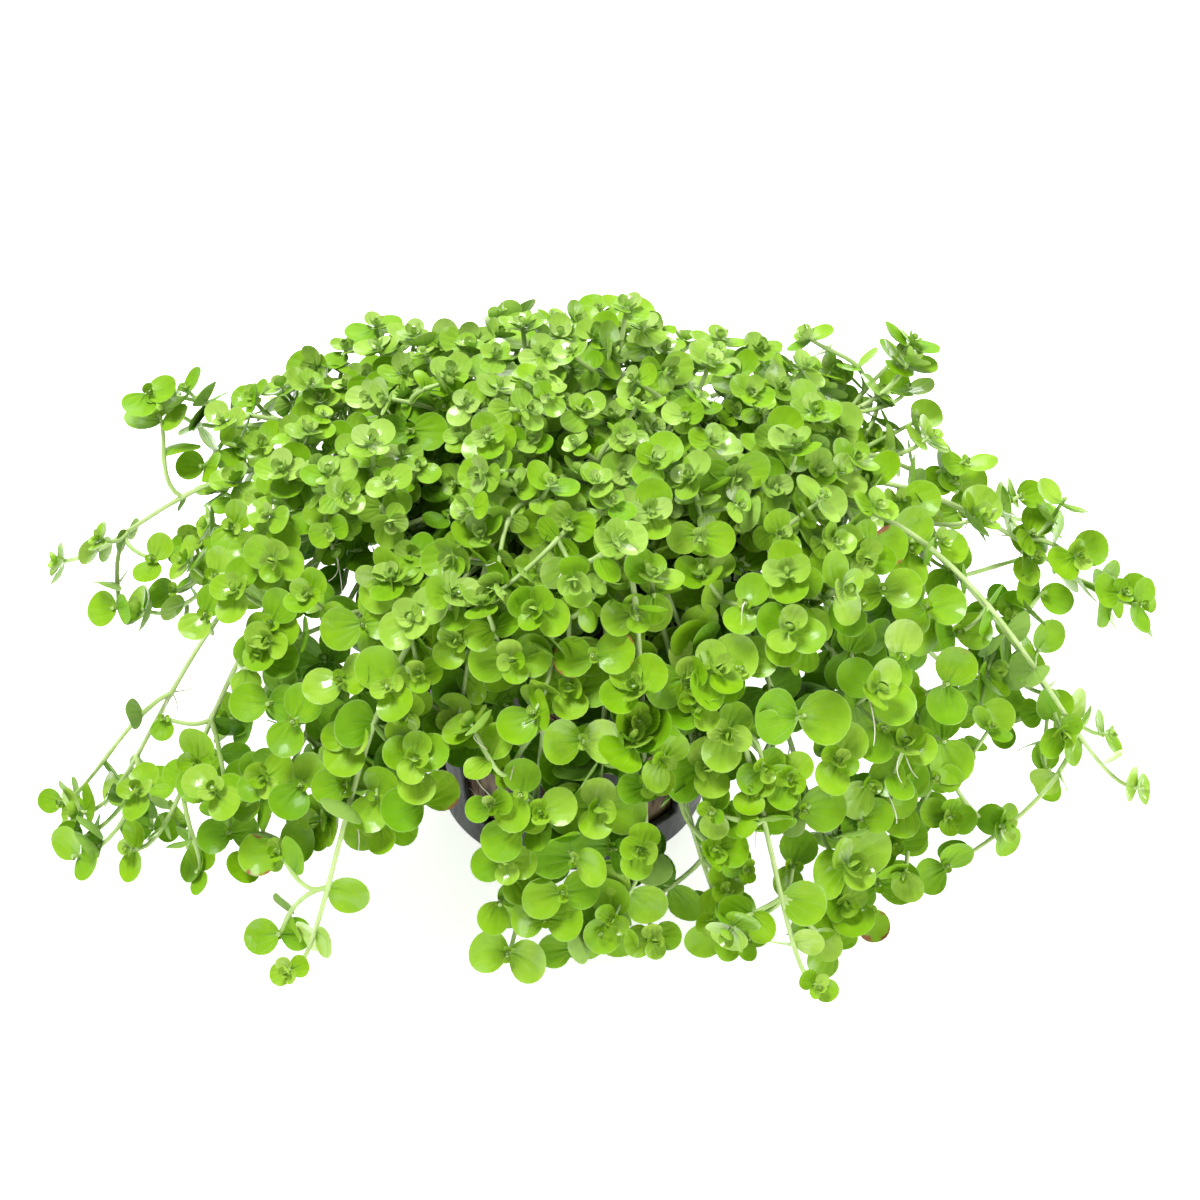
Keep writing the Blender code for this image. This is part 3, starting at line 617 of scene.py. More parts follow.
class Graph:
    """Adds nodes to a shader or geometry tree and links them."""

    def __init__(self, tree: NodeTree) -> None:
        """Work on one tree."""
        self.tree = tree

    def feed(self, node: Node, inputs: dict) -> None:
        """Set a node's inputs, by name or index, or link them where a Value is given."""
        for name, value in inputs.items():
            if isinstance(value, Value):
                self.tree.links.new(value.socket, node.inputs[name])
            else:
                node.inputs[name].default_value = value

    def add(self, kind: str, inputs: dict | None = None, **settings: object) -> Node:
        """Add a node.

        Args:
            kind: the node's type.
            inputs: its inputs, by name or index.
            settings: its own settings.

        Returns:
            The new node.
        """
        node = self.tree.nodes.new(kind)
        for name, value in settings.items():
            setattr(node, name, value)
        self.feed(node, inputs or {})
        return node

    def value(self, kind: str, inputs: dict | None = None, output: object = 0, **settings: object) -> Value:
        """Add a node and give one of its outputs."""
        return Value(self, self.add(kind, inputs, **settings).outputs[output])

    def math(self, operation: str, a: object, b: object = 0.0, clamp: bool = False) -> Value:
        """Add a sum of one or two values."""
        return self.value("ShaderNodeMath", {0: a, 1: b}, operation=operation, use_clamp=clamp)

    def rise(self, value: Value, low: float, high: float, start: float = 0.0, end: float = 1.0) -> Value:
        """Map a value smoothly from the range low to high to the range start to end."""
        inputs = {"Value": value, "From Min": low, "From Max": high, "To Min": start, "To Max": end}
        return self.value("ShaderNodeMapRange", inputs, interpolation_type="SMOOTHSTEP")

    def mix(self, share: Value, first: object, second: object) -> Value:
        """Mix two colours by a share."""
        node = self.add("ShaderNodeMix", {"Factor": share}, data_type="RGBA")
        for socket, colour in ((6, first), (7, second)):
            self.feed(node, {socket: (*colour, 1.0) if isinstance(colour, tuple) else colour})
        return Value(self, node.outputs[2])

    def ramp(self, value: Value, stops: list[tuple]) -> Value:
        """Give a colour along a ramp of (place, colour) stops."""
        node = self.add("ShaderNodeValToRGB", {"Fac": value})
        elements = node.color_ramp.elements
        elements[0].position, elements[1].position = stops[0][0], stops[-1][0]
        for place, _ in stops[1:-1]:
            elements.new(place)
        for element, (_, colour) in zip(elements, stops):
            element.color = (*colour, 1.0)
        return Value(self, node.outputs["Color"])

    def place(self) -> Value:
        """Give the place on the object."""
        return self.value("ShaderNodeTexCoord", output="Object")

    def axis(self, vector: Value, axis: str) -> Value:
        """Give one coordinate of a vector."""
        return self.value("ShaderNodeSeparateXYZ", {"Vector": vector}, axis)

    def noise(self, size: float, detail: float = 2.0, stretch: tuple = (1.0, 1.0, 1.0)) -> Value:
        """Give an even noise over the object, whose patches are about size millimetres across."""
        where = self.value("ShaderNodeMapping", {"Vector": self.place(), "Scale": stretch})
        scale = 1.0 / (size * MM)
        return self.value("ShaderNodeTexNoise", {"Vector": where, "Scale": scale, "Detail": detail})

    def attribute(self, name: str) -> Value:
        """Give one of the mesh's own values."""
        return self.value("ShaderNodeAttribute", output="Fac", attribute_name=name)

    def group(self, tree: NodeTree, inputs: dict | None = None) -> dict[str, Value]:
        """Place a shader group and give its outputs by name."""
        node = self.add("ShaderNodeGroup", inputs, node_tree=tree)
        return {output.name: Value(self, output) for output in node.outputs}


class GroupGraph(Graph):
    """The nodes of a shader group."""

    def __init__(self, name: str, inputs: dict[str, float]) -> None:
        """Start the group with its inputs' usual values."""
        super().__init__(bpy.data.node_groups.new(name, "ShaderNodeTree"))
        for label, usual in inputs.items():
            socket = self.tree.interface.new_socket(label, in_out="INPUT", socket_type="NodeSocketFloat")
            socket.default_value = usual
        given = self.add("NodeGroupInput").outputs
        self.given = {label: Value(self, given[label]) for label in inputs}

    def close(self, values: dict[str, Value]) -> NodeTree:
        """Give the group its outputs."""
        for label in values:
            self.tree.interface.new_socket(label, in_out="OUTPUT", socket_type="NodeSocketFloat")
        self.add("NodeGroupOutput", values)
        return self.tree


class FinishGraph(Graph):
    """The nodes of a material, round its main shader."""

    def __init__(self, name: str) -> None:
        """Start the material."""
        self.material = bpy.data.materials.new(name)
        self.material.use_nodes = True
        super().__init__(self.material.node_tree)

    def bump(self, height: Value, strength: float, depth: float) -> Value:
        """Turn a height into a bumped normal, with its depth in millimetres."""
        return self.value("ShaderNodeBump", {"Height": height, "Strength": strength, "Distance": depth * MM})

    def shade(self, inputs: dict) -> Material:
        """Set or link the main shader's inputs and give the material."""
        self.feed(self.tree.nodes["Principled BSDF"], inputs)
        return self.material


class DressingGraph(Graph):
    """The nodes of a geometry tree that turns a plain mesh into a finished piece."""

    def __init__(self, name: str, inputs: dict[str, str]) -> None:
        """Start the tree with inputs of some kinds, such as Float."""
        super().__init__(bpy.data.node_groups.new(name, "GeometryNodeTree"))
        face = self.tree.interface
        kinds = {"Geometry": "Geometry", **inputs}
        self.identifiers = {
            label: face.new_socket(label, in_out="INPUT", socket_type=f"NodeSocket{kind}").identifier
            for label, kind in kinds.items()}
        face.new_socket("Geometry", in_out="OUTPUT", socket_type="NodeSocketGeometry")
        given = self.add("NodeGroupInput").outputs
        self.given = {label: Value(self, given[label]) for label in kinds}

    def copies(self, points: Value, patterns: str, inputs: dict) -> Value:
        """Set copies of patterns on points, as plain mesh.

        Args:
            points: the points.
            patterns: the name of the input with the patterns.
            inputs: what each copy's form, turn and size come from.

        Returns:
            The mesh.
        """
        forms = self.value("GeometryNodeCollectionInfo", {
            "Collection": self.given[patterns], "Separate Children": True, "Reset Children": True})
        copies = self.value("GeometryNodeInstanceOnPoints", {
            "Points": points, "Instance": forms, "Pick Instance": True, **inputs})
        return self.value("GeometryNodeRealizeInstances", {"Geometry": copies})

    def coat(self, geometry: Value, finish: str) -> Value:
        """Give geometry the material of a named input."""
        return self.value("GeometryNodeSetMaterial", {"Geometry": geometry, "Material": self.given[finish]})

    def close(self, parts: list[Value]) -> None:
        """Join the parts as the tree's result."""
        join = self.add("GeometryNodeJoinGeometry")
        for part in parts:
            self.feed(join, {0: part})
        self.add("NodeGroupOutput", {0: Value(self, join.outputs[0])})

    def run(self, name: str, plain: Mesh, values: dict) -> Object:
        """Run the tree on a mesh, which is used up.

        Args:
            name: the finished piece's name.
            plain: the mesh to dress.
            values: the tree's inputs by name.

        Returns:
            The finished piece.
        """
        carrier = place_object("carrier", plain)
        modifier = carrier.modifiers.new("dressing", "NODES")
        modifier.node_group = self.tree
        for label, value in values.items():
            modifier[self.identifiers[label]] = value
        evaluated = carrier.evaluated_get(bpy.context.evaluated_depsgraph_get())
        mesh = bpy.data.meshes.new_from_object(evaluated)
        bpy.data.objects.remove(carrier)
        bpy.data.meshes.remove(plain)
        mesh.name = name
        return place_object(name, mesh)


@cache
def leaf_marks() -> NodeTree:
    """Read a leaf's own map: its veins, rim, base, underside, swollen panels and midrib crease."""
    graph = GroupGraph("leaf_marks", {"Vein width": 0.012, "Vein angle": 0.37})
    angle = graph.given["Vein angle"]
    uv = graph.value("ShaderNodeUVMap", uv_map="UVMap")
    u, y = graph.axis(uv, "X"), graph.axis(uv, "Y")
    under = u > 1.5
    x = (u - under * 2.0 - 0.5) * 1.2
    raised = y + 0.09
    reach = graph.math("SQRT", x * x + raised * raised)
    fan = graph.math("ARCTAN2", x, raised) / (1.0 - y * 0.34)
    step = abs(graph.math("FRACT", fan / angle + 20.5) - 0.5)
    veins = graph.rise(step * angle * reach / graph.given["Vein width"], 0.25, 1.1, 1.0, 0.0)
    veins = veins * graph.rise(reach, 0.5, 1.0, 1.0, 0.15) * graph.rise(abs(fan), 1.0, 1.35, 1.0, 0.0)
    panels = graph.rise(step, 0.0, 0.5) * graph.rise(reach, 0.15, 0.6)
    crease = graph.rise(abs(x / (y * 0.10 + 0.02)), 0.2, 1.6, 1.0, 0.0) * graph.rise(y, 0.1, 0.62, 1.0, 0.0)
    distance = graph.math("SQRT", (x / 0.53) ** 2.0 + ((y - 0.51) / 0.5) ** 2.0)
    return graph.close({"Veins": veins, "Rim": graph.rise(distance, 0.9, 0.99),
                        "Base": graph.rise(y, 0.0, 0.34, 1.0, 0.0), "Rim distance": distance,
                        "Underside": under, "Panels": panels, "Crease": crease})


@cache
def growth_mottle() -> NodeTree:
    """Mottle a surface in two sizes, about the middle value of 0.5."""
    graph = GroupGraph("growth_mottle", {"Strength": 1.0})
    coarse = (graph.noise(2.6, 3.0) - 0.5) * graph.given["Strength"]
    return graph.close({"Mottle": graph.math("ADD", coarse, 0.5, clamp=True), "Grain": graph.noise(0.3)})


@dataclass(frozen=True)
class LeafFinish:
    """Bright, wet leaf, darker with age and with painted shade deep in the plant and at its base and crease,
    paler underneath, with a painted sheen over a real wet film high up, and a few scorched rims.
    """

    fresh: tuple = (0.35, 0.54, 0.066)
    young: tuple = (0.235, 0.45, 0.007)
    grown: tuple = (0.145, 0.345, 0.001)
    old: tuple = (0.08, 0.22, 0.001)
    # fold is the darker green laid on the base and the midrib crease as painted shade
    fold: tuple = (0.09, 0.27, 0.001)
    vein: tuple = (0.44, 0.60, 0.20)
    rim: tuple = (0.44, 0.60, 0.22)
    underside: tuple = (0.24, 0.38, 0.09)
    # A whitish colour for fresh leaves high on the crown: a painted sheen over some real wet film
    mist_and_sheen: tuple = (0.43, 0.57, 0.27)
    scorched: tuple = (0.27, 0.11, 0.03)
    withered: tuple = (0.10, 0.05, 0.02)

    def material(self) -> Material:
        """Build the leaf material."""
        graph = FinishGraph("leaf_green")
        marks = graph.group(leaf_marks())
        mottle, grain = graph.group(growth_mottle()).values()
        age = graph.attribute("leaf_age")
        rough = marks["Underside"] * 0.22 + grain * 0.2 + graph.rise(age, 0.1, 0.6, 0.24, 0.5)
        height = marks["Veins"] * -0.25 + grain * 0.12 + marks["Panels"] * 0.18
        height = height + marks["Crease"] * -0.7 + mottle
        wet = graph.rise(age, 0.1, 0.5, 1.0, 0.1) * graph.rise(mottle, 0.38, 0.6)
        return graph.shade({
            "Base Color": self.colour(graph, marks, mottle), "Roughness": rough,
            "Normal": graph.bump(height, 0.7, 0.22), "Coat Weight": wet, "Coat Roughness": 0.12,
            "Specular IOR Level": 0.2})

    def colour(self, graph: Graph, marks: dict[str, Value], mottle: Value) -> Value:
        """Build the leaf's colour.

        Args:
            graph: the material's graph.
            marks: the leaf map's values.
            mottle: the surface's mottle.

        Returns:
            The colour.
        """
        age, tint, scorch = (graph.attribute(name) for name in ("leaf_age", "leaf_tint", "leaf_scorch"))
        stops = [(0.0, self.fresh), (0.3, self.young), (0.64, self.grown), (1.0, self.old)]
        patchy = age + (mottle - 0.5) * 0.5
        colour = graph.ramp(graph.math("ADD", patchy, tint * 0.12, clamp=True), stops)
        # The base and the midrib crease are darkened towards the fold colour as painted shade; the panels and
        # veins are the leaf's own colour.
        for mark, share, shade in (("Panels", 0.08, self.grown), ("Base", 0.32, self.fold),
                                   ("Crease", 0.45, self.fold), ("Veins", 0.18, self.vein)):
            colour = graph.mix(marks[mark] * share, colour, shade)
        # Fresh leaves high on the crown are paled with a painted whitish sheen, partly a real wet film.
        high = graph.rise(graph.axis(graph.place(), "Z"), 0.048, 0.070)
        colour = graph.mix(high * graph.rise(age, 0.0, 0.45, 0.30, 0.0), colour, self.mist_and_sheen)
        pale = marks["Underside"] * graph.rise(age, 0.1, 0.5, 0.1, 0.75)
        colour = graph.mix(pale, colour, self.underside)
        colour = graph.mix(marks["Rim"] * 0.42, colour, self.rim)
        edge = marks["Rim distance"] + ((mottle - 0.5) * 1.7 + scorch - marks["Base"] * 0.8)
        burnt = graph.rise(edge, 1.42, 1.62) * (scorch > 0.01)
        dead = graph.rise(edge, 1.66, 1.9)
        return graph.mix(burnt, colour, graph.mix(dead, self.scorched, self.withered))


@dataclass(frozen=True)
class StemFinish:
    """Pale green, watery stem, whiter where it is old and thick."""

    green: tuple = (0.24, 0.43, 0.05)
    pale: tuple = (0.50, 0.63, 0.26)

    def material(self) -> Material:
        """Build the stem material."""
        graph = FinishGraph("stem_pale_green")
        mottle, grain = graph.group(growth_mottle(), {"Strength": 1.6}).values()
        share = graph.math("ADD", mottle * 0.6, graph.attribute("paleness") * 0.6, clamp=True)
        return graph.shade({"Base Color": graph.mix(share, self.green, self.pale),
                            "Roughness": grain * 0.2 + 0.3, "Normal": graph.bump(grain, 0.3, 0.1)})


@dataclass(frozen=True)
class RootletFinish:
    """White to cream hair roots."""

    white: tuple = (0.80, 0.80, 0.68)
    cream: tuple = (0.58, 0.52, 0.36)

    def material(self) -> Material:
        """Build the rootlet material."""
        graph = FinishGraph("rootlet_white")
        share = graph.rise(graph.noise(1.5), 0.4, 0.75)
        return graph.shade({"Base Color": graph.mix(share, self.white, self.cream),
                            "Roughness": graph.rise(graph.noise(0.5), 0.3, 0.7, 0.4, 0.65)})


@dataclass(frozen=True)
class PotFinish:
    """Thin dark grey moulded plastic, a little scuffed and dusty."""

    plastic: tuple = (0.016, 0.017, 0.019)
    worn: tuple = (0.085, 0.09, 0.097)

    def material(self) -> Material:
        """Build the pot's plastic."""
        graph = FinishGraph("pot_plastic")
        streaks = graph.noise(3.0, 4.0, (1.0, 1.0, 0.16))
        scuffs = graph.noise(0.9, 5.0)
        worn = graph.rise(streaks * 0.7 + scuffs * 0.3, 0.42, 0.72)
        height = streaks * 0.6 + graph.noise(0.35) * 0.4
        return graph.shade({"Base Color": graph.mix(worn, self.plastic, self.worn),
                            "Roughness": graph.rise(scuffs, 0.3, 0.7, 0.34, 0.55),
                            "Normal": graph.bump(height, 0.3, 0.15), "Specular IOR Level": 0.25})


@dataclass(frozen=True)
class WoolFinish:
    """Damp brown fibre of the growing plug."""

    dark: tuple = (0.045, 0.028, 0.018)
    brown: tuple = (0.155, 0.098, 0.062)
    dry: tuple = (0.29, 0.205, 0.135)

    def material(self) -> Material:
        """Build the plug's fibre material."""
        graph = FinishGraph("growing_wool")
        fibre = graph.noise(1.1, 5.0, (1.0, 1.0, 0.22))
        patches = graph.noise(6.0, 3.0)
        stops = [(0.36, self.dark), (0.5, self.brown), (0.66, self.dry)]
        return graph.shade({"Base Color": graph.ramp(fibre * 0.65 + patches * 0.35, stops),
                            "Roughness": graph.rise(patches, 0.3, 0.7, 0.6, 0.95),
                            "Normal": graph.bump(fibre, 0.8, 0.4)})


@dataclass(frozen=True)
class FloorFinish:
    """Plain pale ground."""

    pale: tuple = (0.95, 0.95, 0.945)
    shade: tuple = (0.93, 0.93, 0.925)
    glow: float = 0.76

    def material(self) -> Material:
        """Build the floor material."""
        graph = FinishGraph("pale_floor")
        return graph.shade({"Base Color": graph.mix(graph.noise(300.0), self.pale, self.shade),
                            "Roughness": 0.85, "Emission Color": WHITE, "Emission Strength": self.glow})


class LeafShape(Enum):
    """The leaf forms, youngest last, by their place in the set of patterns."""

    OPEN = 0
    RIPPLED = 1
    DISHED = 2
    DROOPING = 3
    FOLDED = 4
    CURLED = 5
    CUPPED = 6
    HOODED = 7


@dataclass(frozen=True)
class LeafForm:
    """How a leaf of length 1 curves.

    It has a dished middle, a folded midrib, a curled tip, a rippled rim, a breadth, an uneven outline and a
    number of points round its rim.
    """

    dish: float
    fold: float
    curl: float
    ripple: float
    breadth: float
    uneven: float = 0.02
    rim_points: int = 20


LEAF_FORMS = {
    LeafShape.OPEN: LeafForm(0.06, 0.04, -0.03, 0.016, 1.06),
    LeafShape.RIPPLED: LeafForm(0.03, 0.06, -0.07, 0.04, 1.10, 0.035),
    LeafShape.DISHED: LeafForm(0.12, 0.03, 0.03, 0.02, 1.04, 0.015),
    LeafShape.DROOPING: LeafForm(-0.05, 0.09, -0.17, 0.024, 1.04, 0.03),
    LeafShape.FOLDED: LeafForm(0.04, 0.20, 0.02, 0.015, 1.0),
    LeafShape.CURLED: LeafForm(-0.12, 0.05, -0.24, 0.03, 0.98, 0.03),
    LeafShape.CUPPED: LeafForm(0.18, 0.06, 0.15, 0.012, 1.04, 0.02, 14),
    LeafShape.HOODED: LeafForm(0.22, 0.08, 0.30, 0.0, 1.02, 0.0, 12),
}


@dataclass
class LeafPatterns:
    """The set of thin closed leaf meshes that the stems' Geometry Nodes copy."""

    ring: float = 0.56
    middle: float = 0.52
    base_narrowing: float = 0.3
    half_thickness: float = 0.013
    map_width: float = 1.2
    under_shift: float = 2.0

    def outline(self, step: int, share: float, form: LeafForm) -> tuple[float, float]:
        """Give a point on a ring round the leaf's middle, starting at the leaf's base."""
        angle = tau * step / form.rim_points
        y = (1 - cos(angle)) / 2
        x = 0.5 * form.breadth * sin(angle) * (1 - self.base_narrowing * exp(-y / 0.12))
        share *= 1 + form.uneven * sin(3 * angle + 9 * form.breadth) * y
        return x * share, self.middle + (y - self.middle) * share

    def height(self, x: float, y: float, form: LeafForm) -> float:
        """Give the height of the leaf's mid surface."""
        rho = (2 * x) ** 2 + (2 * (y - 0.5)) ** 2
        ripple = form.ripple * sin(3.0 * atan2(x, y - 0.5) + 8.0 * form.breadth) * rho
        return form.dish * (rho - 1) + form.fold * abs(x) + form.curl * y * y + ripple * y

    def pattern(self, shape: LeafShape, form: LeafForm) -> Object:
        """Build one leaf, with its base at the origin, its tip along +Y and its upper side up."""
        bm = bmesh.new()
        layer = bm.loops.layers.uv.new("UVMap")
        count = form.rim_points
        rim = [bm.verts.new((x, y, self.height(x, y, form)))
               for x, y in (self.outline(i, 1.0, form) for i in range(count))]
        for under in (False, True):
            depth = -self.half_thickness if under else self.half_thickness
            spots = [self.outline(i, self.ring, form) for i in range(0, count, 2)]
            ring = [bm.verts.new((x, y, self.height(x, y, form) + depth * 0.83)) for x, y in spots]
            centre = bm.verts.new((0.0, self.middle, self.height(0.0, self.middle, form) + depth))
            loops = []
            for k, inner in enumerate(ring):
                following = ring[(k + 1) % len(ring)]
                first, second, third = (rim[(2 * k + i) % count] for i in range(3))
                loops += [(centre, inner, following), (inner, first, second),
                          (inner, second, third, following)]
            for corners in loops:
                face = bm.faces.new(corners[::-1] if under else corners)
                face.smooth = True
                for loop in face.loops:
                    shift = self.under_shift if under else 0.0
                    loop[layer].uv = (shift + 0.5 + loop.vert.co.x / self.map_width, loop.vert.co.y)
        rim_verts = set(rim)
        for edge in bm.edges:
            edge.smooth = not set(edge.verts) <= rim_verts
        mesh = close_mesh(bm, f"leaf_pattern_{shape.value}_{shape.name.lower()}")
        return bpy.data.objects.new(mesh.name, mesh)

    def patterns(self) -> PatternSet:
        """Build every pattern, in the order of LeafShape."""
        return PatternSet("leaf_patterns", (self.pattern(shape, form) for shape, form in LEAF_FORMS.items()))


class Tissue(Enum):
    """What a drawn-out tube is."""

    STEM = 0
    ROOTLET = 1


@dataclass
class TubeRun:
    """A tapering tube along points."""

    points: list[Vector]
    radii: list[float]
    tissue: Tissue
    paleness: float = 0.5


@dataclass
class LeafSpot:
    """One leaf's place, turn, size, form and looks."""

    place: Vector
    turn: Quaternion
    size: float
    shape: LeafShape
    age: float
    tint: float
    scorch: float = 0.0

    MIDDLE = 0.53
    DISC = 0.48

    def centre(self) -> Vector:
        """Give the middle of the leaf."""
        return self.place + self.turn @ Vector((0.0, self.size * self.MIDDLE, 0.0))


class Crowd:
    """Remembers where leaves and stems are, so that new ones turn away from them."""

    CLEAR_OF_STEM = 0.75
    SIDE_STEPS = 8

    def __init__(self) -> None:
        """Start with nothing in the way."""
        self.centres = np.zeros((0, 3))
        self.normals = np.zeros((0, 3))
        self.radii = np.zeros(0)
        self.groups = np.zeros(0, dtype=int)
        self.beads = np.zeros((0, 3))
        self.tips = np.zeros((0, 3))
        self.low = np.array([value / MM - 1.0 for value in CAD_BOX[0]])
        self.high = np.array([value / MM + 1.0 for value in CAD_BOX[1]])

    def add_leaf(self, centre: Vector, normal: Vector, radius: float, group: int) -> None:
        """Remember a leaf as a disc."""
        self.centres = np.vstack([self.centres, np.array(centre)])
        self.normals = np.vstack([self.normals, np.array(normal)])
        self.radii = np.append(self.radii, radius)
        self.groups = np.append(self.groups, group)

    def add_tube(self, points: list[Vector]) -> None:
        """Remember a stem as beads about a millimetre apart."""
        beads = []
        for a, b in zip(points, points[1:]):
            steps = max(1, round((b - a).length / 1.2))
            beads += [np.array(a.lerp(b, i / steps)) for i in range(steps)]
        self.beads = np.vstack([self.beads, np.array(beads)])

    def add_rosette(self, tip: Vector) -> None:
        """Remember a rosette by its tip."""
        self.tips = np.vstack([self.tips, np.array(tip)])

    def openness(self, points: list[Vector]) -> np.ndarray:
        """Give each point's distance to the nearest rosette."""
        places = np.array(points)
        return np.linalg.norm(places[:, None, :] - self.tips[None, :, :], axis=2).min(axis=1)

    def path_cost(self, points: list[Vector], room: float = 1.15) -> float:
        """Count how much of a twig is too near other stems, in the pot's wall or out of bounds."""
        cost = 0.0
        for point in points:
            spot = np.array(point)
            cost += max(0.0, room - np.linalg.norm(self.beads - spot, axis=1).min())
            reach = hypot(point.x, point.y)
            if point.z < POT_HEIGHT + 0.8 and POT_TOP_RADIUS - 6.5 < reach < RIM_RADIUS + 0.8:
                cost += 4.0
            if point.z < PLUG_TOP + 0.5 and reach < pot_radius(max(0.0, point.z)) + 0.8:
                cost += 4.0
            if point.z < 0.6 or (spot < self.low + 1.5).any() or (spot > self.high - 1.5).any():
                cost += 4.0
        return cost

    def leaf_cost(self, centre: Vector, normal: Vector, radius: float, root: Vector, group: int) -> float:
        """Say how badly a leaf, taken as a disc, cuts through what is there.

        Args:
            centre: the disc's middle.
            normal: its upper side's direction.
            radius: its radius.
            root: where it leaves its stem.
            group: the leaf rosette it belongs to, which doesn't count.

        Returns:
            0 for a leaf that is clear of everything, and more the deeper it cuts.
        """
        c, n = np.array(centre), np.array(normal)
        away = self.centres - c
        gap = np.linalg.norm(away, axis=1)
        near = (gap < self.radii + radius) & (self.groups != group)
        cost = 0.0
        if near.any():
            away, radii, normals = away[near], self.radii[near], self.normals[near]
            line = np.cross(n, normals)
            slant = np.linalg.norm(line, axis=1)
            own_height = np.einsum("ij,ij->i", away, normals)
            other_height = away @ n
            flat = slant < 0.12
            slant = np.maximum(slant, 0.12)
            own = radius ** 2 - (own_height / slant) ** 2
            other = radii ** 2 - (other_height / slant) ** 2
            both = (own > 0) & (other > 0) & ~flat
            half_own, half_other = np.sqrt(np.maximum(own, 0)), np.sqrt(np.maximum(other, 0))
            shift = np.einsum("ij,ij->i", away, line) / slant
            overlap = np.minimum(half_own, shift + half_other) - np.maximum(-half_own, shift - half_other)
            cost += float((np.maximum(overlap, 0) * both).sum()) / radius
            cost += float((flat & (np.abs(other_height) < 0.4)).sum()) * 1.5
        from_root = np.linalg.norm(self.beads - np.array(root), axis=1)
        rel = self.beads - c
        level = rel @ n
        across = np.linalg.norm(rel - np.outer(level, n), axis=1)
        pierced = (np.abs(level) < self.CLEAR_OF_STEM) & (across < radius * 0.97) & (from_root > 2.2)
        cost += 0.6 * float(pierced.sum())
        side = np.cross(n, (0.31, 0.87, 0.38))
        side /= np.linalg.norm(side)
        up = np.cross(n, side)
        for i in range(self.SIDE_STEPS):
            angle = tau * i / self.SIDE_STEPS
            spot = c + (side * cos(angle) + up * sin(angle)) * radius
            if (spot < self.low).any() or (spot > self.high).any() or spot[2] < 0.5:
                cost += 3.0
            reach = hypot(spot[0], spot[1])
            if spot[2] < POT_HEIGHT + 0.4 and POT_TOP_RADIUS - 4.5 < reach < RIM_RADIUS + 0.4:
                cost += 2.0
            elif spot[2] < PLUG_TOP + 1.0 and reach < pot_radius(max(0.0, spot[2])) + 0.5:
                cost += 3.0
        return cost


def leafy_reach(point: Vector) -> float:
    """Say how far out a point is: 0 at the plant's heart, 1 on the surface of its mass."""
    depth = 44.0 if point.y < 0.0 else 58.0
    height = max(point.z - 8.0, 0.0) / 67.0
    return sqrt((point.x / 65.0) ** 2 + (point.y / depth) ** 2 + height ** 2)


def leaf_scale(point: Vector) -> float:
    """Say how large leaves grow at a point against the stem's own leaf length: least on the crown."""
    crown = crown_share(point)
    front = smooth(-point.y, 8.0, 28.0) * (1.0 - smooth(abs(point.x), 40.0, 70.0))
    low = 1.0 - smooth(point.z, 7.0, 16.0)
    return (0.69 + 0.06 * front - 0.08 * low) * (1.0 - crown) + 0.56 * crown


def is_seen_in(circles: list[tuple], point: Vector, reach: float) -> bool:
    """Say whether what reaches so far round a point is seen in one of some circles."""
    px, py = VIEW.seen(point)
    margin = reach * VIEW.focal / (point - Vector(VIEW.place)).length
    return any(hypot(px - x, py - y) < radius + margin for x, y, radius in circles)


def depth_inside(point: Vector) -> float:
    """Say how deep in the plant a point is, from 0 at its leafy surface to 1 at its heart."""
    height = max(point.z - 14.0, 0.0) / 60.0
    reach = sqrt((point.x / DOME_WIDTH) ** 2 + (point.y / DOME_DEPTH) ** 2 + height ** 2)
    return 1.0 - smooth(reach, 0.45, 0.92)


def light_direction(point: Vector) -> Vector:
    """Give the way that leaves turn to at a point: out of the dome and up."""
    out = Vector((point.x / DOME_WIDTH, point.y / DOME_DEPTH, 0.0)) * 0.9
    front = Vector((0.0, -0.3 * (1.0 - smooth(point.y, 5.0, 35.0)), 0.0))
    return (out + front + UP * (0.6 + 0.5 * smooth(point.z, 20.0, 65.0))).normalized()


class Axil(NamedTuple):
    """A place on a stem where a pair of leaves grows, on the side of one of them."""

    stem: "LeafyStem"
    point: Vector
    along: Vector
    out: Vector
    order: int


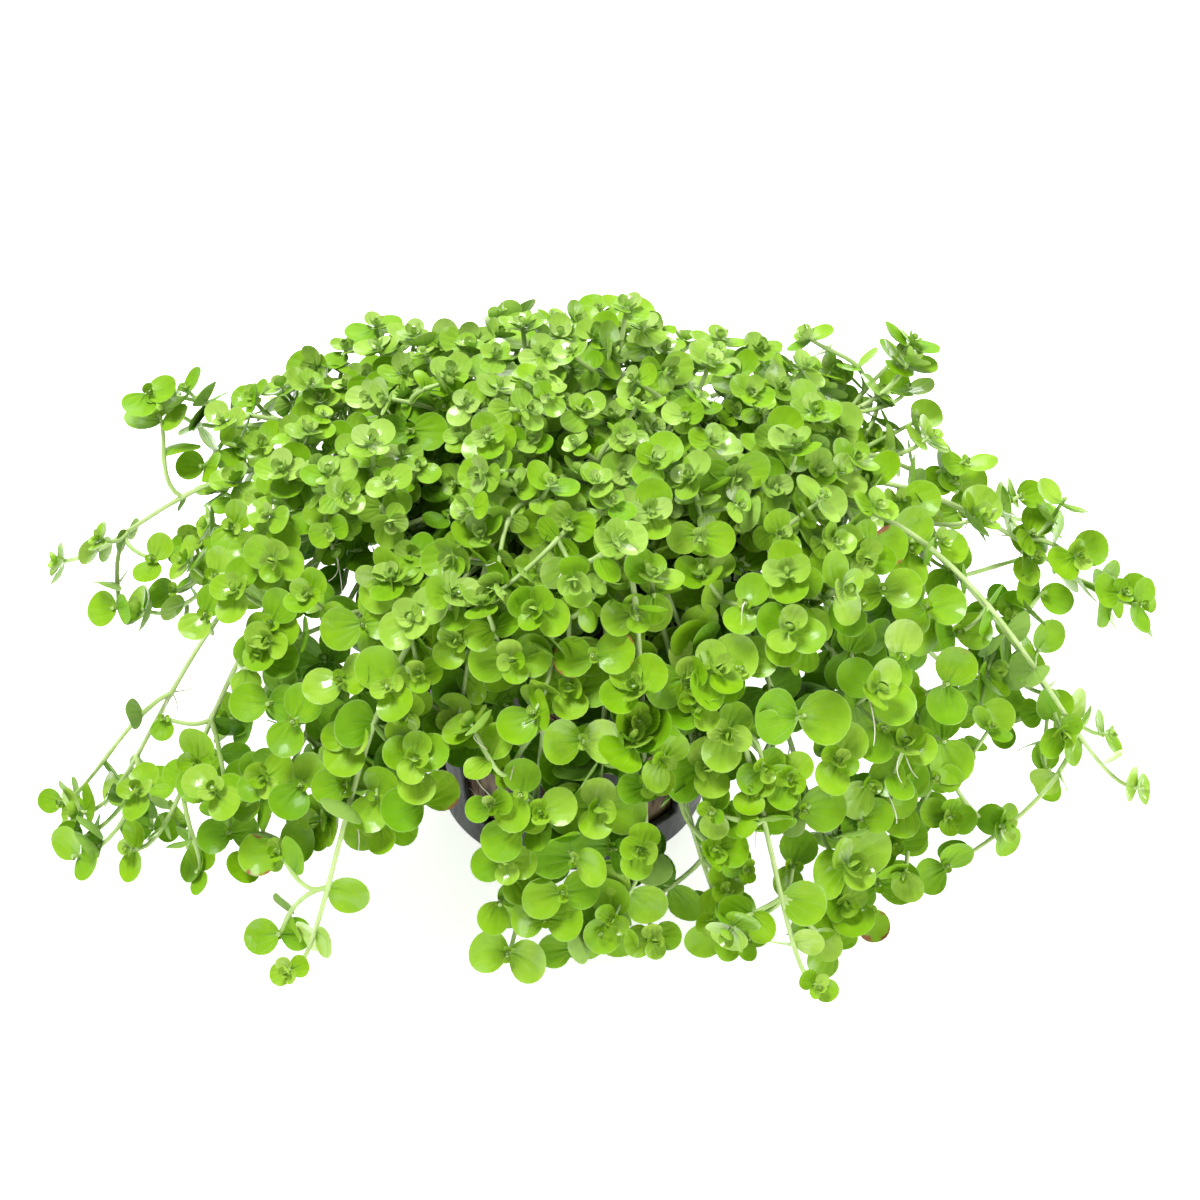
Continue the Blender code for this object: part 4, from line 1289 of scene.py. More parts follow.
@dataclass
class LeafyStem:
    """One grown stem with its leaf pairs, rosettes, twigs and rootlets."""

    number: int
    stem: Stem
    line: StemLine
    crowd: Crowd
    leaves: list[LeafSpot] = field(default_factory=list)
    tubes: list[TubeRun] = field(default_factory=list)

    RADIUS = 0.44
    TIP_RADIUS = 0.34
    TWIG_RADIUS = 0.34
    SWELLING = 1.22
    LEAF_TRIES = 9
    PATH_TRIES = 6
    PATH_STEPS = 10
    PAIR_SPACING = 9.0
    CROWN_SPACING = 6.0
    CLOSING_SHARE = 0.45
    NESTED = ((-1.9, 1.0, 12.0, 0.30, LeafShape.DISHED), (-1.1, 0.72, 25.0, 0.16, LeafShape.DISHED),
              (-0.6, 0.46, 44.0, 0.08, LeafShape.CUPPED), (-0.25, 0.26, 62.0, 0.04, LeafShape.HOODED))
    PLANNED = {"tube_radius": "FLOAT", "is_leaf": "FLOAT", "is_rootlet": "FLOAT", "paleness": "FLOAT",
               "leaf_size": "FLOAT", "leaf_shape": "INT", "leaf_age": "FLOAT", "leaf_tint": "FLOAT",
               "leaf_scorch": "FLOAT"}
    OPEN_SHAPES = (LeafShape.OPEN, LeafShape.OPEN, LeafShape.DISHED, LeafShape.RIPPLED, LeafShape.DROOPING,
                   LeafShape.FOLDED, LeafShape.CURLED)

    def __post_init__(self) -> None:
        """Take this stem's own seed and its leaf pairs' turn, as in its solid."""
        self.chance = random.Random(700 + self.number)
        self.roll = radians(ROLL_STEP * (self.number - 1) % ROLL_RANGE - ROLL_RANGE / 2)
        self.group = self.number * 1000
        rosette = self.line.length - 2 * NODE_LENGTH
        self.nodes = []
        while rosette - self.stem.spacing * (len(self.nodes) + 1) > 5.0:
            self.nodes.append(rosette - self.stem.spacing * (len(self.nodes) + 1))

    def tube(self, points: list[Vector], radius: float, tip_radius: float, knots: list[Vector],
             paleness: float) -> None:
        """Draw a stem or twig that tapers, and swells a little where leaves grow."""
        radii = []
        for i, point in enumerate(points):
            share = i / (len(points) - 1)
            wide = radius + (tip_radius - radius) * share
            swell = max((1.0 - smooth((point - knot).length, 0.0, 1.4) for knot in knots), default=0.0)
            radii.append(wide * (1.0 + (self.SWELLING - 1.0) * swell))
        self.tubes.append(TubeRun(points, radii, Tissue.STEM, paleness))

    def place_leaf(self, root: Vector, along: Vector, out: Vector, size: float, pitch: float, shape: LeafShape,
                   age: float, facing: float, tries: int) -> None:
        """Grow one leaf, turned and tilted to the light and out of its neighbours' way.

        Args:
            root: the point on the stem's middle line where it grows.
            along: the stem's growing direction.
            out: the direction the leaf grows in, square to the stem.
            size: the leaf's length.
            pitch: degrees that it tips towards the stem's tip.
            shape: the leaf's form.
            age: 0 for a fresh leaf to 1 for an old one.
            facing: how far it turns to the light, from 0 to 1.
            tries: how many ways of turning away it may try.
        """
        light = light_direction(root)
        best = None
        for step in range(tries):
            calm = step < 2
            lean = pitch + (self.chance.gauss(0, 6) if calm else self.chance.uniform(-26, 44))
            turn = self.chance.gauss(0, 6) if calm else self.chance.uniform(-40, 40)
            roll = self.chance.gauss(0, 7) if calm else self.chance.uniform(-28, 28)
            length = size * (1.0 if step < 6 else 0.82)
            heading = Quaternion(along, radians(turn)) @ out
            angle = radians(lean)
            ahead = heading * cos(angle) + along * sin(angle)
            natural = along * cos(angle) - heading * sin(angle)
            wanted = natural.lerp(light, facing)
            up = wanted - ahead * wanted.dot(ahead)
            up = (up if up.length > 0.15 else natural).normalized()
            up = Quaternion(ahead, radians(roll)) @ up
            centre = root + ahead * length * LeafSpot.MIDDLE
            cost = 0.8 * (1.0 - up.dot(light)) + 0.004 * (abs(lean - pitch) + abs(turn))
            cost += 0.5 * (1 - length / size)
            lowest = centre.z - length * 0.55 * sqrt(max(0.0, 1.0 - up.z * up.z))
            cost += 5.0 * (lowest < FLOOR_ROOM)
            if tries > 1:
                cost += self.crowd.leaf_cost(centre, up, length * LeafSpot.DISC, root, self.group)
                cost += 3.0 * (centre.y < 0.0 and is_seen_in(POT_SEEN, centre, length * 0.25))
                cost += 3.5 * is_seen_in(BARE_SEEN, centre, length * 0.25)
            if best is None or cost < best[0]:
                best = (cost, ahead, up, length, centre)
            if cost < 0.35:
                break
        cost, ahead, up, length, centre = best
        if cost > 3.6:
            return
        turned = Matrix((ahead.cross(up), ahead, up)).transposed().to_quaternion()
        # Leaves deep inside the plant are darkened on top of their real age, as painted shade for the plant's
        # own shadow.
        age = max(0.0, min(1.0, age + 0.5 * depth_inside(centre) + self.chance.gauss(0, 0.09)))
        self.leaves.append(LeafSpot(root, turned, length, shape, age, self.chance.uniform(-1, 1)))
        self.crowd.add_leaf(centre, up, length * LeafSpot.DISC, self.group)

    def pair(self, root: Vector, along: Vector, out: Vector, size: float, age: float) -> None:
        """Grow an opposite pair of open leaves."""
        facing = 0.72 - 0.34 * crown_share(root)
        for heading in (out, -out):
            shape = self.chance.choice(self.OPEN_SHAPES)
            grown = size * self.chance.uniform(0.86, 1.08)
            turned = facing * self.chance.uniform(0.35, 1.1)
            self.place_leaf(root, along, heading, grown, 6.0, shape, age, turned, self.LEAF_TRIES)

    def rosette(self, tip: Vector, along: Vector, out: Vector, size: float, age: float = 0.0,
                inner: float = 1.0) -> None:
        """Close a stem with nested pairs, each smaller, steeper and square to the last.

        Args:
            tip: the stem's end.
            along: its growing direction.
            out: the direction of its lowest pair.
            size: the lowest pair's leaf length.
            age: how much older than fresh its leaves look.
            inner: the inner pairs' size against a full rosette's.
        """
        self.group += 1
        self.crowd.add_rosette(tip)
        headings = (out, along.cross(out))
        for row, (back, share, pitch, row_age, shape) in enumerate(self.NESTED):
            share *= inner if row else 1.0
            lean = pitch + self.chance.gauss(0, 5)
            for heading in (headings[row % 2], -headings[row % 2]):
                grown = size * share * self.chance.uniform(0.9, 1.08)
                steep = lean + self.chance.gauss(0, 5)
                facing, tries = (0.25, self.LEAF_TRIES) if row == 0 else (0.0, 1)
                self.place_leaf(tip + along * back * size / 7.0, along, heading, grown, steep, shape,
                                age + row_age, facing, tries)

    def shoot(self, axil: Axil, tip: Vector, end: Vector, out: Vector, size: float, age: float,
              inner: float = 1.0, worst: float = 1e9) -> list[Axil]:
        """Grow a side shoot from an axil to a given tip, with leaf pairs on a long one and a rosette.

        Args:
            axil: where it grows from.
            tip: where it ends.
            end: the direction that its tip faces.
            out: the direction of its rosette's lowest pair.
            size: its rosette's largest leaves' length.
            age: its leaves' age.
            inner: the rosette's inner pairs' size.
            worst: how much of its path may be in the way of other stems.

        Returns:
            The new axils along it, or nothing where there was no room.
        """
        reach = (tip - axil.point).length
        best = None
        for _ in range(self.PATH_TRIES):
            start = axil.out * self.chance.uniform(0.4, 1.0) + axil.along * self.chance.uniform(0.1, 0.9)
            first = axil.point + start.normalized() * reach * self.chance.uniform(0.25, 0.5)
            last = tip - end * reach * self.chance.uniform(0.2, 0.4)
            points = line_along([axil.point, first, last, tip], self.PATH_STEPS)
            cost = self.crowd.path_cost(points[2:])
            if best is None or cost < best[0]:
                best = (cost, points)
        cost, points = best
        if cost > worst:
            return []
        length = sum((b - a).length for a, b in zip(points, points[1:]))
        self.crowd.add_tube(points[1:])
        self.rosette(tip, end, out, size, age, inner)
        crown = crown_share(tip)
        count = int(length / (self.PAIR_SPACING * (1.0 - crown) + self.CROWN_SPACING * crown))
        steps = [round(self.PATH_STEPS * (k + 1) / (count + 1)) for k in range(count)]
        self.tube(points, self.TWIG_RADIUS * 1.1, self.TWIG_RADIUS * 0.85, [points[i] for i in steps], 0.45)
        grown = []
        for order, i in enumerate(steps):
            along = (points[i + 1] - points[i - 1]).normalized()
            across = square_to(out, along)
            across = along.cross(across) if (len(steps) - order) % 2 else across
            self.group += 1
            self.pair(points[i], along, across, size * self.chance.uniform(0.9, 1.05), age + 0.32)
            grown += [Axil(self, points[i], along, side, 1) for side in (across, -across)]
        return grown

    def rootlets(self, node: Vector, along: Vector, count: int) -> None:
        """Hang a few curved hair roots on a node."""
        for _ in range(count):
            heading = stray(self.chance, 0.8) - UP * 0.5
            heading = (heading - along * heading.dot(along) * 0.8).normalized()
            curl = stray(self.chance, 0.35)
            length = self.chance.uniform(4.0, 9.5)
            points = [node.copy()]
            for _ in range(7):
                heading = (heading + curl * 0.35 - UP * 0.12).normalized()
                points.append(points[-1] + heading * length / 7)
            if min(point.z for point in points) < FLOOR_ROOM or self.crowd.path_cost(points[1:], 0.0) > 0.0:
                continue
            radii = [0.14 * (1.0 - 0.7 * i / 7) for i in range(8)]
            self.tubes.append(TubeRun(points, radii, Tissue.ROOTLET))

    def grow_line(self) -> None:
        """Draw the main stem, before any leaf is placed."""
        steps = round(self.line.length / 1.6)
        points = [self.line.at(self.line.length * i / steps)[0] for i in range(steps + 1)]
        knots = [self.line.at(distance)[0] for distance in self.nodes]
        self.tube(points, self.RADIUS, self.TIP_RADIUS, knots, 0.75)
        self.crowd.add_tube(points)

    def leaf_axis(self, distance: float, order: int) -> tuple[Vector, Vector, Vector]:
        """Give a node's point, growing direction and leaf direction, square to the last pair's."""
        point, along, side, up = self.line.frame(distance, self.roll)
        return point, along, (side, up)[(self.stem.pairs - order) % 2]

    def grow_tip(self) -> None:
        """Close the main stem with its rosette, turned half to the light."""
        tip, along, _ = self.leaf_axis(self.line.length, 0)
        _, _, out = self.leaf_axis(self.line.length - 2 * NODE_LENGTH, 0)
        end = along.lerp(light_direction(tip), 0.5).normalized()
        look = TIP_LOOKS.get(self.number, TipLook(self.stem.leaf * leaf_scale(tip)))
        if look.slant is not None:
            out = VIEW.slanted(look.slant)
        self.rosette(tip, end, square_to(out, end), look.leaf, 0.0, look.inner)

    def axils(self) -> list[Axil]:
        """Give the main stem's axils, two at each node, from the tip down."""
        found = []
        for order, distance in enumerate(self.nodes, 1):
            point, along, out = self.leaf_axis(distance, order)
            found += [Axil(self, point, along, side, order) for side in (out, -out)]
        return found

    def grow_closing_pair(self) -> None:
        """Grow a young pair behind the tip, where a trailing stem's nodes crowd together."""
        distance = self.line.length - 2 * NODE_LENGTH - self.CLOSING_SHARE * self.stem.spacing
        point, along, side, up = self.line.frame(distance, self.roll + radians(45.0))
        self.group += 1
        self.pair(point, along, side, self.stem.leaf * leaf_scale(point) * 0.9, 0.15)

    def grow_pairs(self) -> None:
        """Grow the main stem's leaf pairs down to the root, with rootlets at some nodes."""
        if self.stem.z < CREST_HEIGHT:
            self.grow_closing_pair()
        for order, distance in enumerate(self.nodes, 1):
            point, along, out = self.leaf_axis(distance, order)
            self.group += 1
            self.pair(point, along, out, self.stem.leaf * leaf_scale(point), min(0.85, 0.28 + 0.1 * order))
            if order > 1 and self.chance.random() < 0.45:
                self.rootlets(point, along, self.chance.randint(1, 3))

    def skeleton(self) -> Mesh:
        """Write the stem's plan as lines and points for the Geometry Nodes to dress."""
        points, edges, turns, facts = [], [], [], []
        for run in self.tubes:
            first = len(points)
            edges += [(first + i, first + i + 1) for i in range(len(run.points) - 1)]
            points += run.points
            turns += [Quaternion()] * len(run.points)
            thin = float(run.tissue is Tissue.ROOTLET)
            facts += [{"tube_radius": radius * MM, "is_rootlet": thin, "paleness": run.paleness}
                      for radius in run.radii]
        for leaf in self.leaves:
            points.append(leaf.place)
            turns.append(leaf.turn)
            facts.append({"is_leaf": 1.0, "leaf_size": leaf.size * MM, "leaf_shape": leaf.shape.value,
                          "leaf_age": leaf.age, "leaf_tint": leaf.tint, "leaf_scorch": leaf.scorch})
        mesh = bpy.data.meshes.new(f"plan_{self.number:02d}")
        mesh.from_pydata([point * MM for point in points], edges, [])
        for name, kind in self.PLANNED.items():
            values = [fact.get(name, 0) for fact in facts]
            mesh.attributes.new(name, kind, "POINT").data.foreach_set("value", values)
        turned = mesh.attributes.new("leaf_turn", "QUATERNION", "POINT")
        turned.data.foreach_set("value", [part for turn in turns for part in turn])
        return mesh


@dataclass
class StemDresser:
    """The Geometry Nodes that turn a stem's plan into round tubes and leaves."""

    patterns: PatternSet
    leaf: Material
    stem: Material
    rootlet: Material
    stem_sides: int = 8
    rootlet_sides: int = 5

    SCRATCH = ("tube_radius", "is_leaf", "is_rootlet", "leaf_size", "leaf_shape", "leaf_turn")

    def __post_init__(self) -> None:
        """Build the tree once."""
        self.graph = DressingGraph("leafy_stem", {
            "Stem sides": "Int", "Rootlet sides": "Int", "Leaf patterns": "Collection",
            "Leaf finish": "Material", "Stem finish": "Material", "Rootlet finish": "Material"})
        thin = self.planned("is_rootlet") > 0.5
        self.graph.close([self.tubes("Rootlet", thin), self.tubes("Stem", 1.0 - thin), self.leaves()])

    def planned(self, name: str, kind: str = "FLOAT") -> Value:
        """Read one of the plan's values."""
        return self.graph.value("GeometryNodeInputNamedAttribute", {"Name": name}, "Attribute",
                                data_type=kind)

    def tubes(self, kind: str, chosen: Value) -> Value:
        """Draw round tubes along chosen lines of the plan, with a kind's sides and finish."""
        graph, given = self.graph, self.graph.given
        line = graph.value("GeometryNodeMeshToCurve", {"Mesh": given["Geometry"], "Selection": chosen})
        sides = {"Resolution": given[f"{kind} sides"], "Radius": 1.0}
        ring = graph.value("GeometryNodeCurvePrimitiveCircle", sides)
        tube = graph.value("GeometryNodeCurveToMesh", {
            "Curve": line, "Profile Curve": ring, "Scale": self.planned("tube_radius"), "Fill Caps": True})
        soft = graph.value("GeometryNodeSetShadeSmooth", {"Geometry": tube})
        whole = graph.value("GeometryNodeRealizeInstances", {"Geometry": soft})
        return graph.coat(whole, f"{kind} finish")

    def leaves(self) -> Value:
        """Set a leaf pattern on each of the plan's leaf points."""
        copies = self.graph.copies(self.graph.given["Geometry"], "Leaf patterns", {
            "Selection": self.planned("is_leaf") > 0.5, "Instance Index": self.planned("leaf_shape", "INT"),
            "Rotation": self.planned("leaf_turn", "QUATERNION"), "Scale": self.planned("leaf_size")})
        return self.graph.coat(copies, "Leaf finish")

    def dress(self, name: str, plan: Mesh) -> Object:
        """Run the tree on a plan and give the finished piece."""
        piece = self.graph.run(name, plan, {
            "Stem sides": self.stem_sides, "Rootlet sides": self.rootlet_sides,
            "Leaf patterns": self.patterns.collection, "Leaf finish": self.leaf, "Stem finish": self.stem,
            "Rootlet finish": self.rootlet})
        for scratch in self.SCRATCH:
            if scratch in piece.data.attributes:
                piece.data.attributes.remove(piece.data.attributes[scratch])
        return piece


def finish_piece(piece: Object, slot: str, *nodes: str) -> None:
    """Hand a finished piece over to the frame and report it."""
    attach(piece, "root")
    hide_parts(*nodes)
    LOG.info("%s: %d faces for %s", piece.name, len(piece.data.polygons), ", ".join(nodes))


@dataclass
class Plant:
    """All the leafy stems together."""

    stems: list[Stem]
    shoots: list[Shoot]
    blemishes: list[Blemish]
    strands: list[Strand]
    crowd: Crowd = field(default_factory=Crowd)
    longest_shoot: float = 36.0
    fillers: int = 500
    trailing_share: float = 0.15

    def plan(self) -> list[LeafyStem]:
        """Plan every stem: its line and tip, the shoots in the photograph, leaves and filling twigs."""
        self.chance = random.Random(5)
        lines = StemPlan(self.stems).lines()
        grown = [LeafyStem(number, *both, self.crowd) for number, both in enumerate(zip(self.stems, lines), 1)]
        for stem in grown:
            stem.grow_line()
        for stem in grown:
            stem.grow_tip()
        axils = [axil for stem in grown for axil in stem.axils()]
        axils += self.grow_shown(axils)
        for stem in grown:
            stem.grow_pairs()
        for layer in LAYERS:
            self.fill(axils, layer)
        self.scorch(grown)
        self.hang_strands(grown)
        LOG.info("%d rosettes and %d leaves", len(self.crowd.tips), sum(len(stem.leaves) for stem in grown))
        return grown

    def scorch(self, grown: list[LeafyStem]) -> None:
        """Scorch the leaves that the photograph shows damaged."""
        eye = Vector(VIEW.place)
        leaves = [leaf for stem in grown for leaf in stem.leaves
                  if leaf.size > 4.2 and (leaf.turn @ UP).dot((eye - leaf.centre()).normalized()) > 0.55]
        seen = [VIEW.seen(leaf.centre()) for leaf in leaves]
        for spot in self.blemishes:
            near = [leaf for leaf, (x, y) in zip(leaves, seen) if hypot(x - spot.px, y - spot.py) < 18.0]
            if near:
                leaf = min(near, key=lambda leaf: (leaf.centre() - eye).length)
                leaf.scorch = spot.scorch

    def hang_strands(self, grown: list[LeafyStem]) -> None:
        """Hang the rootlets that the photograph shows on the nearest stems."""
        knots = [(stem, point) for stem in grown for run in stem.tubes if run.tissue is Tissue.STEM
                 for point in run.points[1:]]
        seen = [VIEW.seen(point) for _, point in knots]
        eye = Vector(VIEW.place)
        for row in self.strands:
            def effort(i: int) -> float:
                """Say how far from the strand's start a knot is seen, and how deep it lies."""
                return hypot(seen[i][0] - row.px, seen[i][1] - row.py) + 0.8 * (knots[i][1] - eye).length

            stem, start = knots[min(range(len(knots)), key=effort)]
            right, up, forward = VIEW.axes()
            scale = (start - eye).dot(forward) / VIEW.focal
            reach = (right * (row.to_px - row.px) - up * (row.to_py - row.py)) * scale - forward * 1.0
            middle = start + reach * 0.5 + stray(self.chance, 0.9)
            points = line_along([start, middle, start + reach], 8)
            for point in points:
                point.z = max(point.z, FLOOR_ROOM)
            stem.tubes.append(TubeRun(points, [0.13 * (1.0 - 0.6 * i / 8) for i in range(9)], Tissue.ROOTLET))

    def grow_shown(self, axils: list[Axil]) -> list[Axil]:
        """Grow the shoots in the photograph, each from the axil that suits it best, and give theirs."""
        used = {}
        added = []
        for row in self.shoots:
            tip = VIEW.target(row.px, row.py, row.depth)
            to_camera = (Vector(VIEW.place) - tip).normalized()
            aside = stray(self.chance, 0.12 + 0.2 * crown_share(tip))
            end = (to_camera * 0.5 + light_direction(tip) * 0.5 + aside).normalized()
            out = square_to(VIEW.slanted(row.slant), end)

            def effort(axil: Axil) -> float:
                """Say how far and how sharply a shoot would have to grow from an axil."""
                away = tip - axil.point
                heading = (axil.out * 0.7 + axil.along * 0.7).normalized()
                rest = 8.0 * (1.0 - heading.dot(away.normalized())) + 8.0 * (1.0 - end.dot(away.normalized()))
                again = 6.0 * used.get(axil.point.freeze(), 0)
                return away.length + rest + again + 30.0 * (away.length < 4.0)

            axil = min(axils, key=effort)
            if (tip - axil.point).length > self.longest_shoot:
                LOG.warning("nothing carries the shoot at %d, %d", row.px, row.py)
                continue
            used[axil.point.freeze()] = used.get(axil.point.freeze(), 0) + 1
            # Shoots set deeper behind the leafy surface are darkened a little, as painted shade.
            added += axil.stem.shoot(axil, tip, end, out, row.leaf, 0.05 + 0.05 * row.depth, row.inner)
        return added

    def fill(self, axils: list[Axil], layer: Layer) -> None:
        """Grow twigs where a layer of the plant is thinnest, until it is evenly full."""
        open_axils = [axil for axil in axils if self.may_branch(axil)]
        for _ in range(self.fillers):
            if not open_axils:
                LOG.info("no axil is left to branch")
                return
            likely = [axil.point + light_direction(axil.point) * layer.step + axil.out * 3.5
                      for axil in open_axils]
            room = [self.room_for(point, layer) for point in likely]
            need = self.crowd.openness(likely) / np.array(room)
            pick = int(need.argmax())
            if need[pick] < 1.0:
                return
            axil = open_axils.pop(pick)
            grown = self.filler(axil, layer)
            axils += grown
            open_axils += [new for new in grown if self.may_branch(new)]

    @staticmethod
    def room_for(point: Vector, layer: Layer) -> float:
        """Say how far apart a layer's rosettes stand at a point."""
        crown = smooth(point.z, 48.0, 64.0)
        spacing = layer.spacing * (1.0 - crown) + layer.crown_spacing * crown
        return spacing * leaf_scale(point) * (1.0 + 0.5 * depth_inside(point))

    def may_branch(self, axil: Axil) -> bool:
        """Say whether an axil may carry a filling twig: few do on trailing stems."""
        reach = leafy_reach(axil.point)
        return reach < 0.95 or self.chance.random() < self.trailing_share

    def filler(self, axil: Axil, layer: Layer) -> list[Axil]:
        """Grow one filling twig of a layer into the light, and give its axils."""
        light = light_direction(axil.point)
        best = None
        spread = 0.4 + 0.2 * crown_share(axil.point)
        for _ in range(14):
            end = (light + axil.out * 0.25 + stray(self.chance, spread)).normalized()
            reach = self.chance.uniform(0.65, 1.65) * layer.step
            tip = axil.point + axil.out * self.chance.uniform(1.5, 6.0) + end * reach
            size = axil.stem.stem.leaf * leaf_scale(tip) * layer.size
            farthest = max(layer.most, leafy_reach(axil.point) + 0.06) if layer.age == 0.0 else layer.most
            if not layer.least < leafy_reach(tip) < farthest or tip.z < 3.0:
                continue
            if is_seen_in(POT_SEEN, tip, size * 0.5) or is_seen_in(BARE_SEEN, tip, size * 0.5):
                continue
            cost = self.crowd.leaf_cost(tip, end, size * 0.8, tip, -1)
            cost -= 0.12 * float(self.crowd.openness([tip])[0])
            if best is None or cost < best[0]:
                best = (cost, tip, end, size)
        if best is None or best[0] > 5.0:
            return []
        _, tip, end, size = best
        out = end.cross(Vector((self.chance.uniform(-1, 1), self.chance.uniform(-1, 1), 0.3))).normalized()
        size *= self.chance.uniform(0.72, 1.0)
        inner = self.chance.choice(layer.inner)
        return axil.stem.shoot(axil, tip, end, out, size, 0.03 * axil.order + layer.age, inner, 6.0)

    def build(self, rootlet: Material) -> None:
        """Dress every stem, with rootlets of a given finish, and hand it over."""
        plan = self.plan()
        patterns = LeafPatterns().patterns()
        dresser = StemDresser(patterns, LeafFinish().material(), StemFinish().material(), rootlet)
        for stem in plan:
            node = f"stem_{stem.number:02d}"
            finish_piece(dresser.dress(f"leafy_{node}", stem.skeleton()), "leaf_green", node)
        patterns.remove()


@dataclass
class NetPot:
    """The tapered pot: double walls joined round its windows and drain slots."""

    windows: int = 10
    window_width: float = 8.8
    window_foot: float = 6.0
    window_head: float = 38.0
    floor: float = 1.8
    window_columns: int = 5
    bar_columns: int = 3
    drain_radii: tuple = (8.0, 16.0)
    drain_half_width: float = 1.3
    edge_round: float = 0.3

    FLOOR_RINGS = (0.0, 4.0, 8.0, 12.0, 16.0)

    def profile(self) -> list[tuple[float, float]]:
        """Give the cross section as (radius, height), up the outside and down the inside."""
        heights = [self.window_foot, 14.0, 22.0, 30.0, self.window_head]
        rim_foot = POT_HEIGHT - RIM_DEPTH
        outer = [(radius, 0.0) for radius in (*self.FLOOR_RINGS, POT_BASE_RADIUS)]
        outer += [(pot_radius(z), z) for z in [2.5] + heights + [43.0, rim_foot]]
        mouth = pot_radius(POT_HEIGHT) - POT_WALL
        rim = [(RIM_RADIUS, rim_foot), (RIM_RADIUS, POT_HEIGHT), (mouth, POT_HEIGHT)]
        inner = [(pot_radius(z) - POT_WALL, z) for z in [43.0] + heights[::-1] + [2.5]]
        floor = [(radius, self.floor) for radius in self.FLOOR_RINGS[::-1]]
        return outer + rim + inner + floor

    def angles(self, radius: float) -> list[float]:
        """Give the columns' angles, with the windows' sides upright as the wall widens."""
        half_sector = pi / self.windows
        half_window = asin(self.window_width / 2 / max(radius, POT_BASE_RADIUS))
        angles = []
        for i in range(self.windows):
            middle = tau * (i + 0.5) / self.windows
            for k in range(self.window_columns):
                angles.append(middle + half_window * (2 * k / self.window_columns - 1))
            for k in range(self.bar_columns):
                angles.append(middle + half_window + 2 * (half_sector - half_window) * k / self.bar_columns)
        return angles

    def is_open(self, column: int, low: tuple[float, float], high: tuple[float, float]) -> bool:
        """Say whether a cell between two profile points is part of a window or a drain slot."""
        in_window = column % (self.window_columns + self.bar_columns) < self.window_columns
        heights = sorted((low[1], high[1]))
        if in_window and heights[0] >= self.window_foot and heights[1] <= self.window_head:
            return max(low[0], high[0]) < RIM_RADIUS
        radii = sorted((low[0], high[0]))
        in_floor = low[1] == high[1] and low[1] <= self.floor
        if in_floor and radii[0] >= self.drain_radii[0] and radii[1] <= self.drain_radii[1]:
            angles = self.angles(0.0)
            middle = (angles[column] + angles[(column + 1) % len(angles)]) / 2
            off = min(abs((middle - tau * (i + 0.5) / 3 + pi) % tau - pi) for i in range(3))
            return off * 12.0 < self.drain_half_width * 1.3
        return False

    def build(self) -> Object:
        """Make the pot."""
        profile = self.profile()
        bm = bmesh.new()
        rings = []
        for radius, height in profile:
            angles = self.angles(radius)
            if radius == 0.0:
                rings.append([bm.verts.new((0.0, 0.0, height * MM))] * len(angles))
            else:
                rings.append([bm.verts.new((radius * cos(a) * MM, radius * sin(a) * MM, height * MM))
                              for a in angles])
        skin_rings(bm, rings, lambda ring, column: self.is_open(column, profile[ring], profile[ring + 1]))
        self.close_openings(bm)
        bmesh.ops.recalc_face_normals(bm, faces=bm.faces)
        mesh = close_mesh(bm, "pot_shell")
        piece = place_object("pot_shell", mesh)
        mesh.materials.append(PotFinish().material())
        bevel = piece.modifiers.new("soft edges", "BEVEL")
        bevel.width, bevel.segments, bevel.limit_method = self.edge_round * MM, 2, "ANGLE"
        bevel.angle_limit = radians(35)
        mesh.shade_smooth()
        mesh.set_sharp_from_angle(angle=radians(50))
        return piece

    @staticmethod
    def close_openings(bm: BMesh) -> None:
        """Join each opening's outer edge to its inner edge."""
        loose = [edge for edge in bm.edges if len(edge.link_faces) == 1]
        loops = []
        while loose:
            loop = [loose.pop()]
            ends = set(loop[0].verts)
            while True:
                edge = next((edge for edge in loose if ends & set(edge.verts)), None)
                if edge is None:
                    break
                ends |= set(edge.verts)
                loop.append(edge)
                loose.remove(edge)
            loops.append(loop)
        middles = [sum((v.co for e in loop for v in e.verts), Vector()) / (2 * len(loop)) for loop in loops]
        used = set()
        for i, loop in enumerate(loops):
            if i in used:
                continue
            others = [j for j in range(len(loops)) if j != i and j not in used]
            j = min(others, key=lambda k: (middles[k] - middles[i]).length)
            used |= {i, j}
            bmesh.ops.bridge_loops(bm, edges=loop + loops[j])


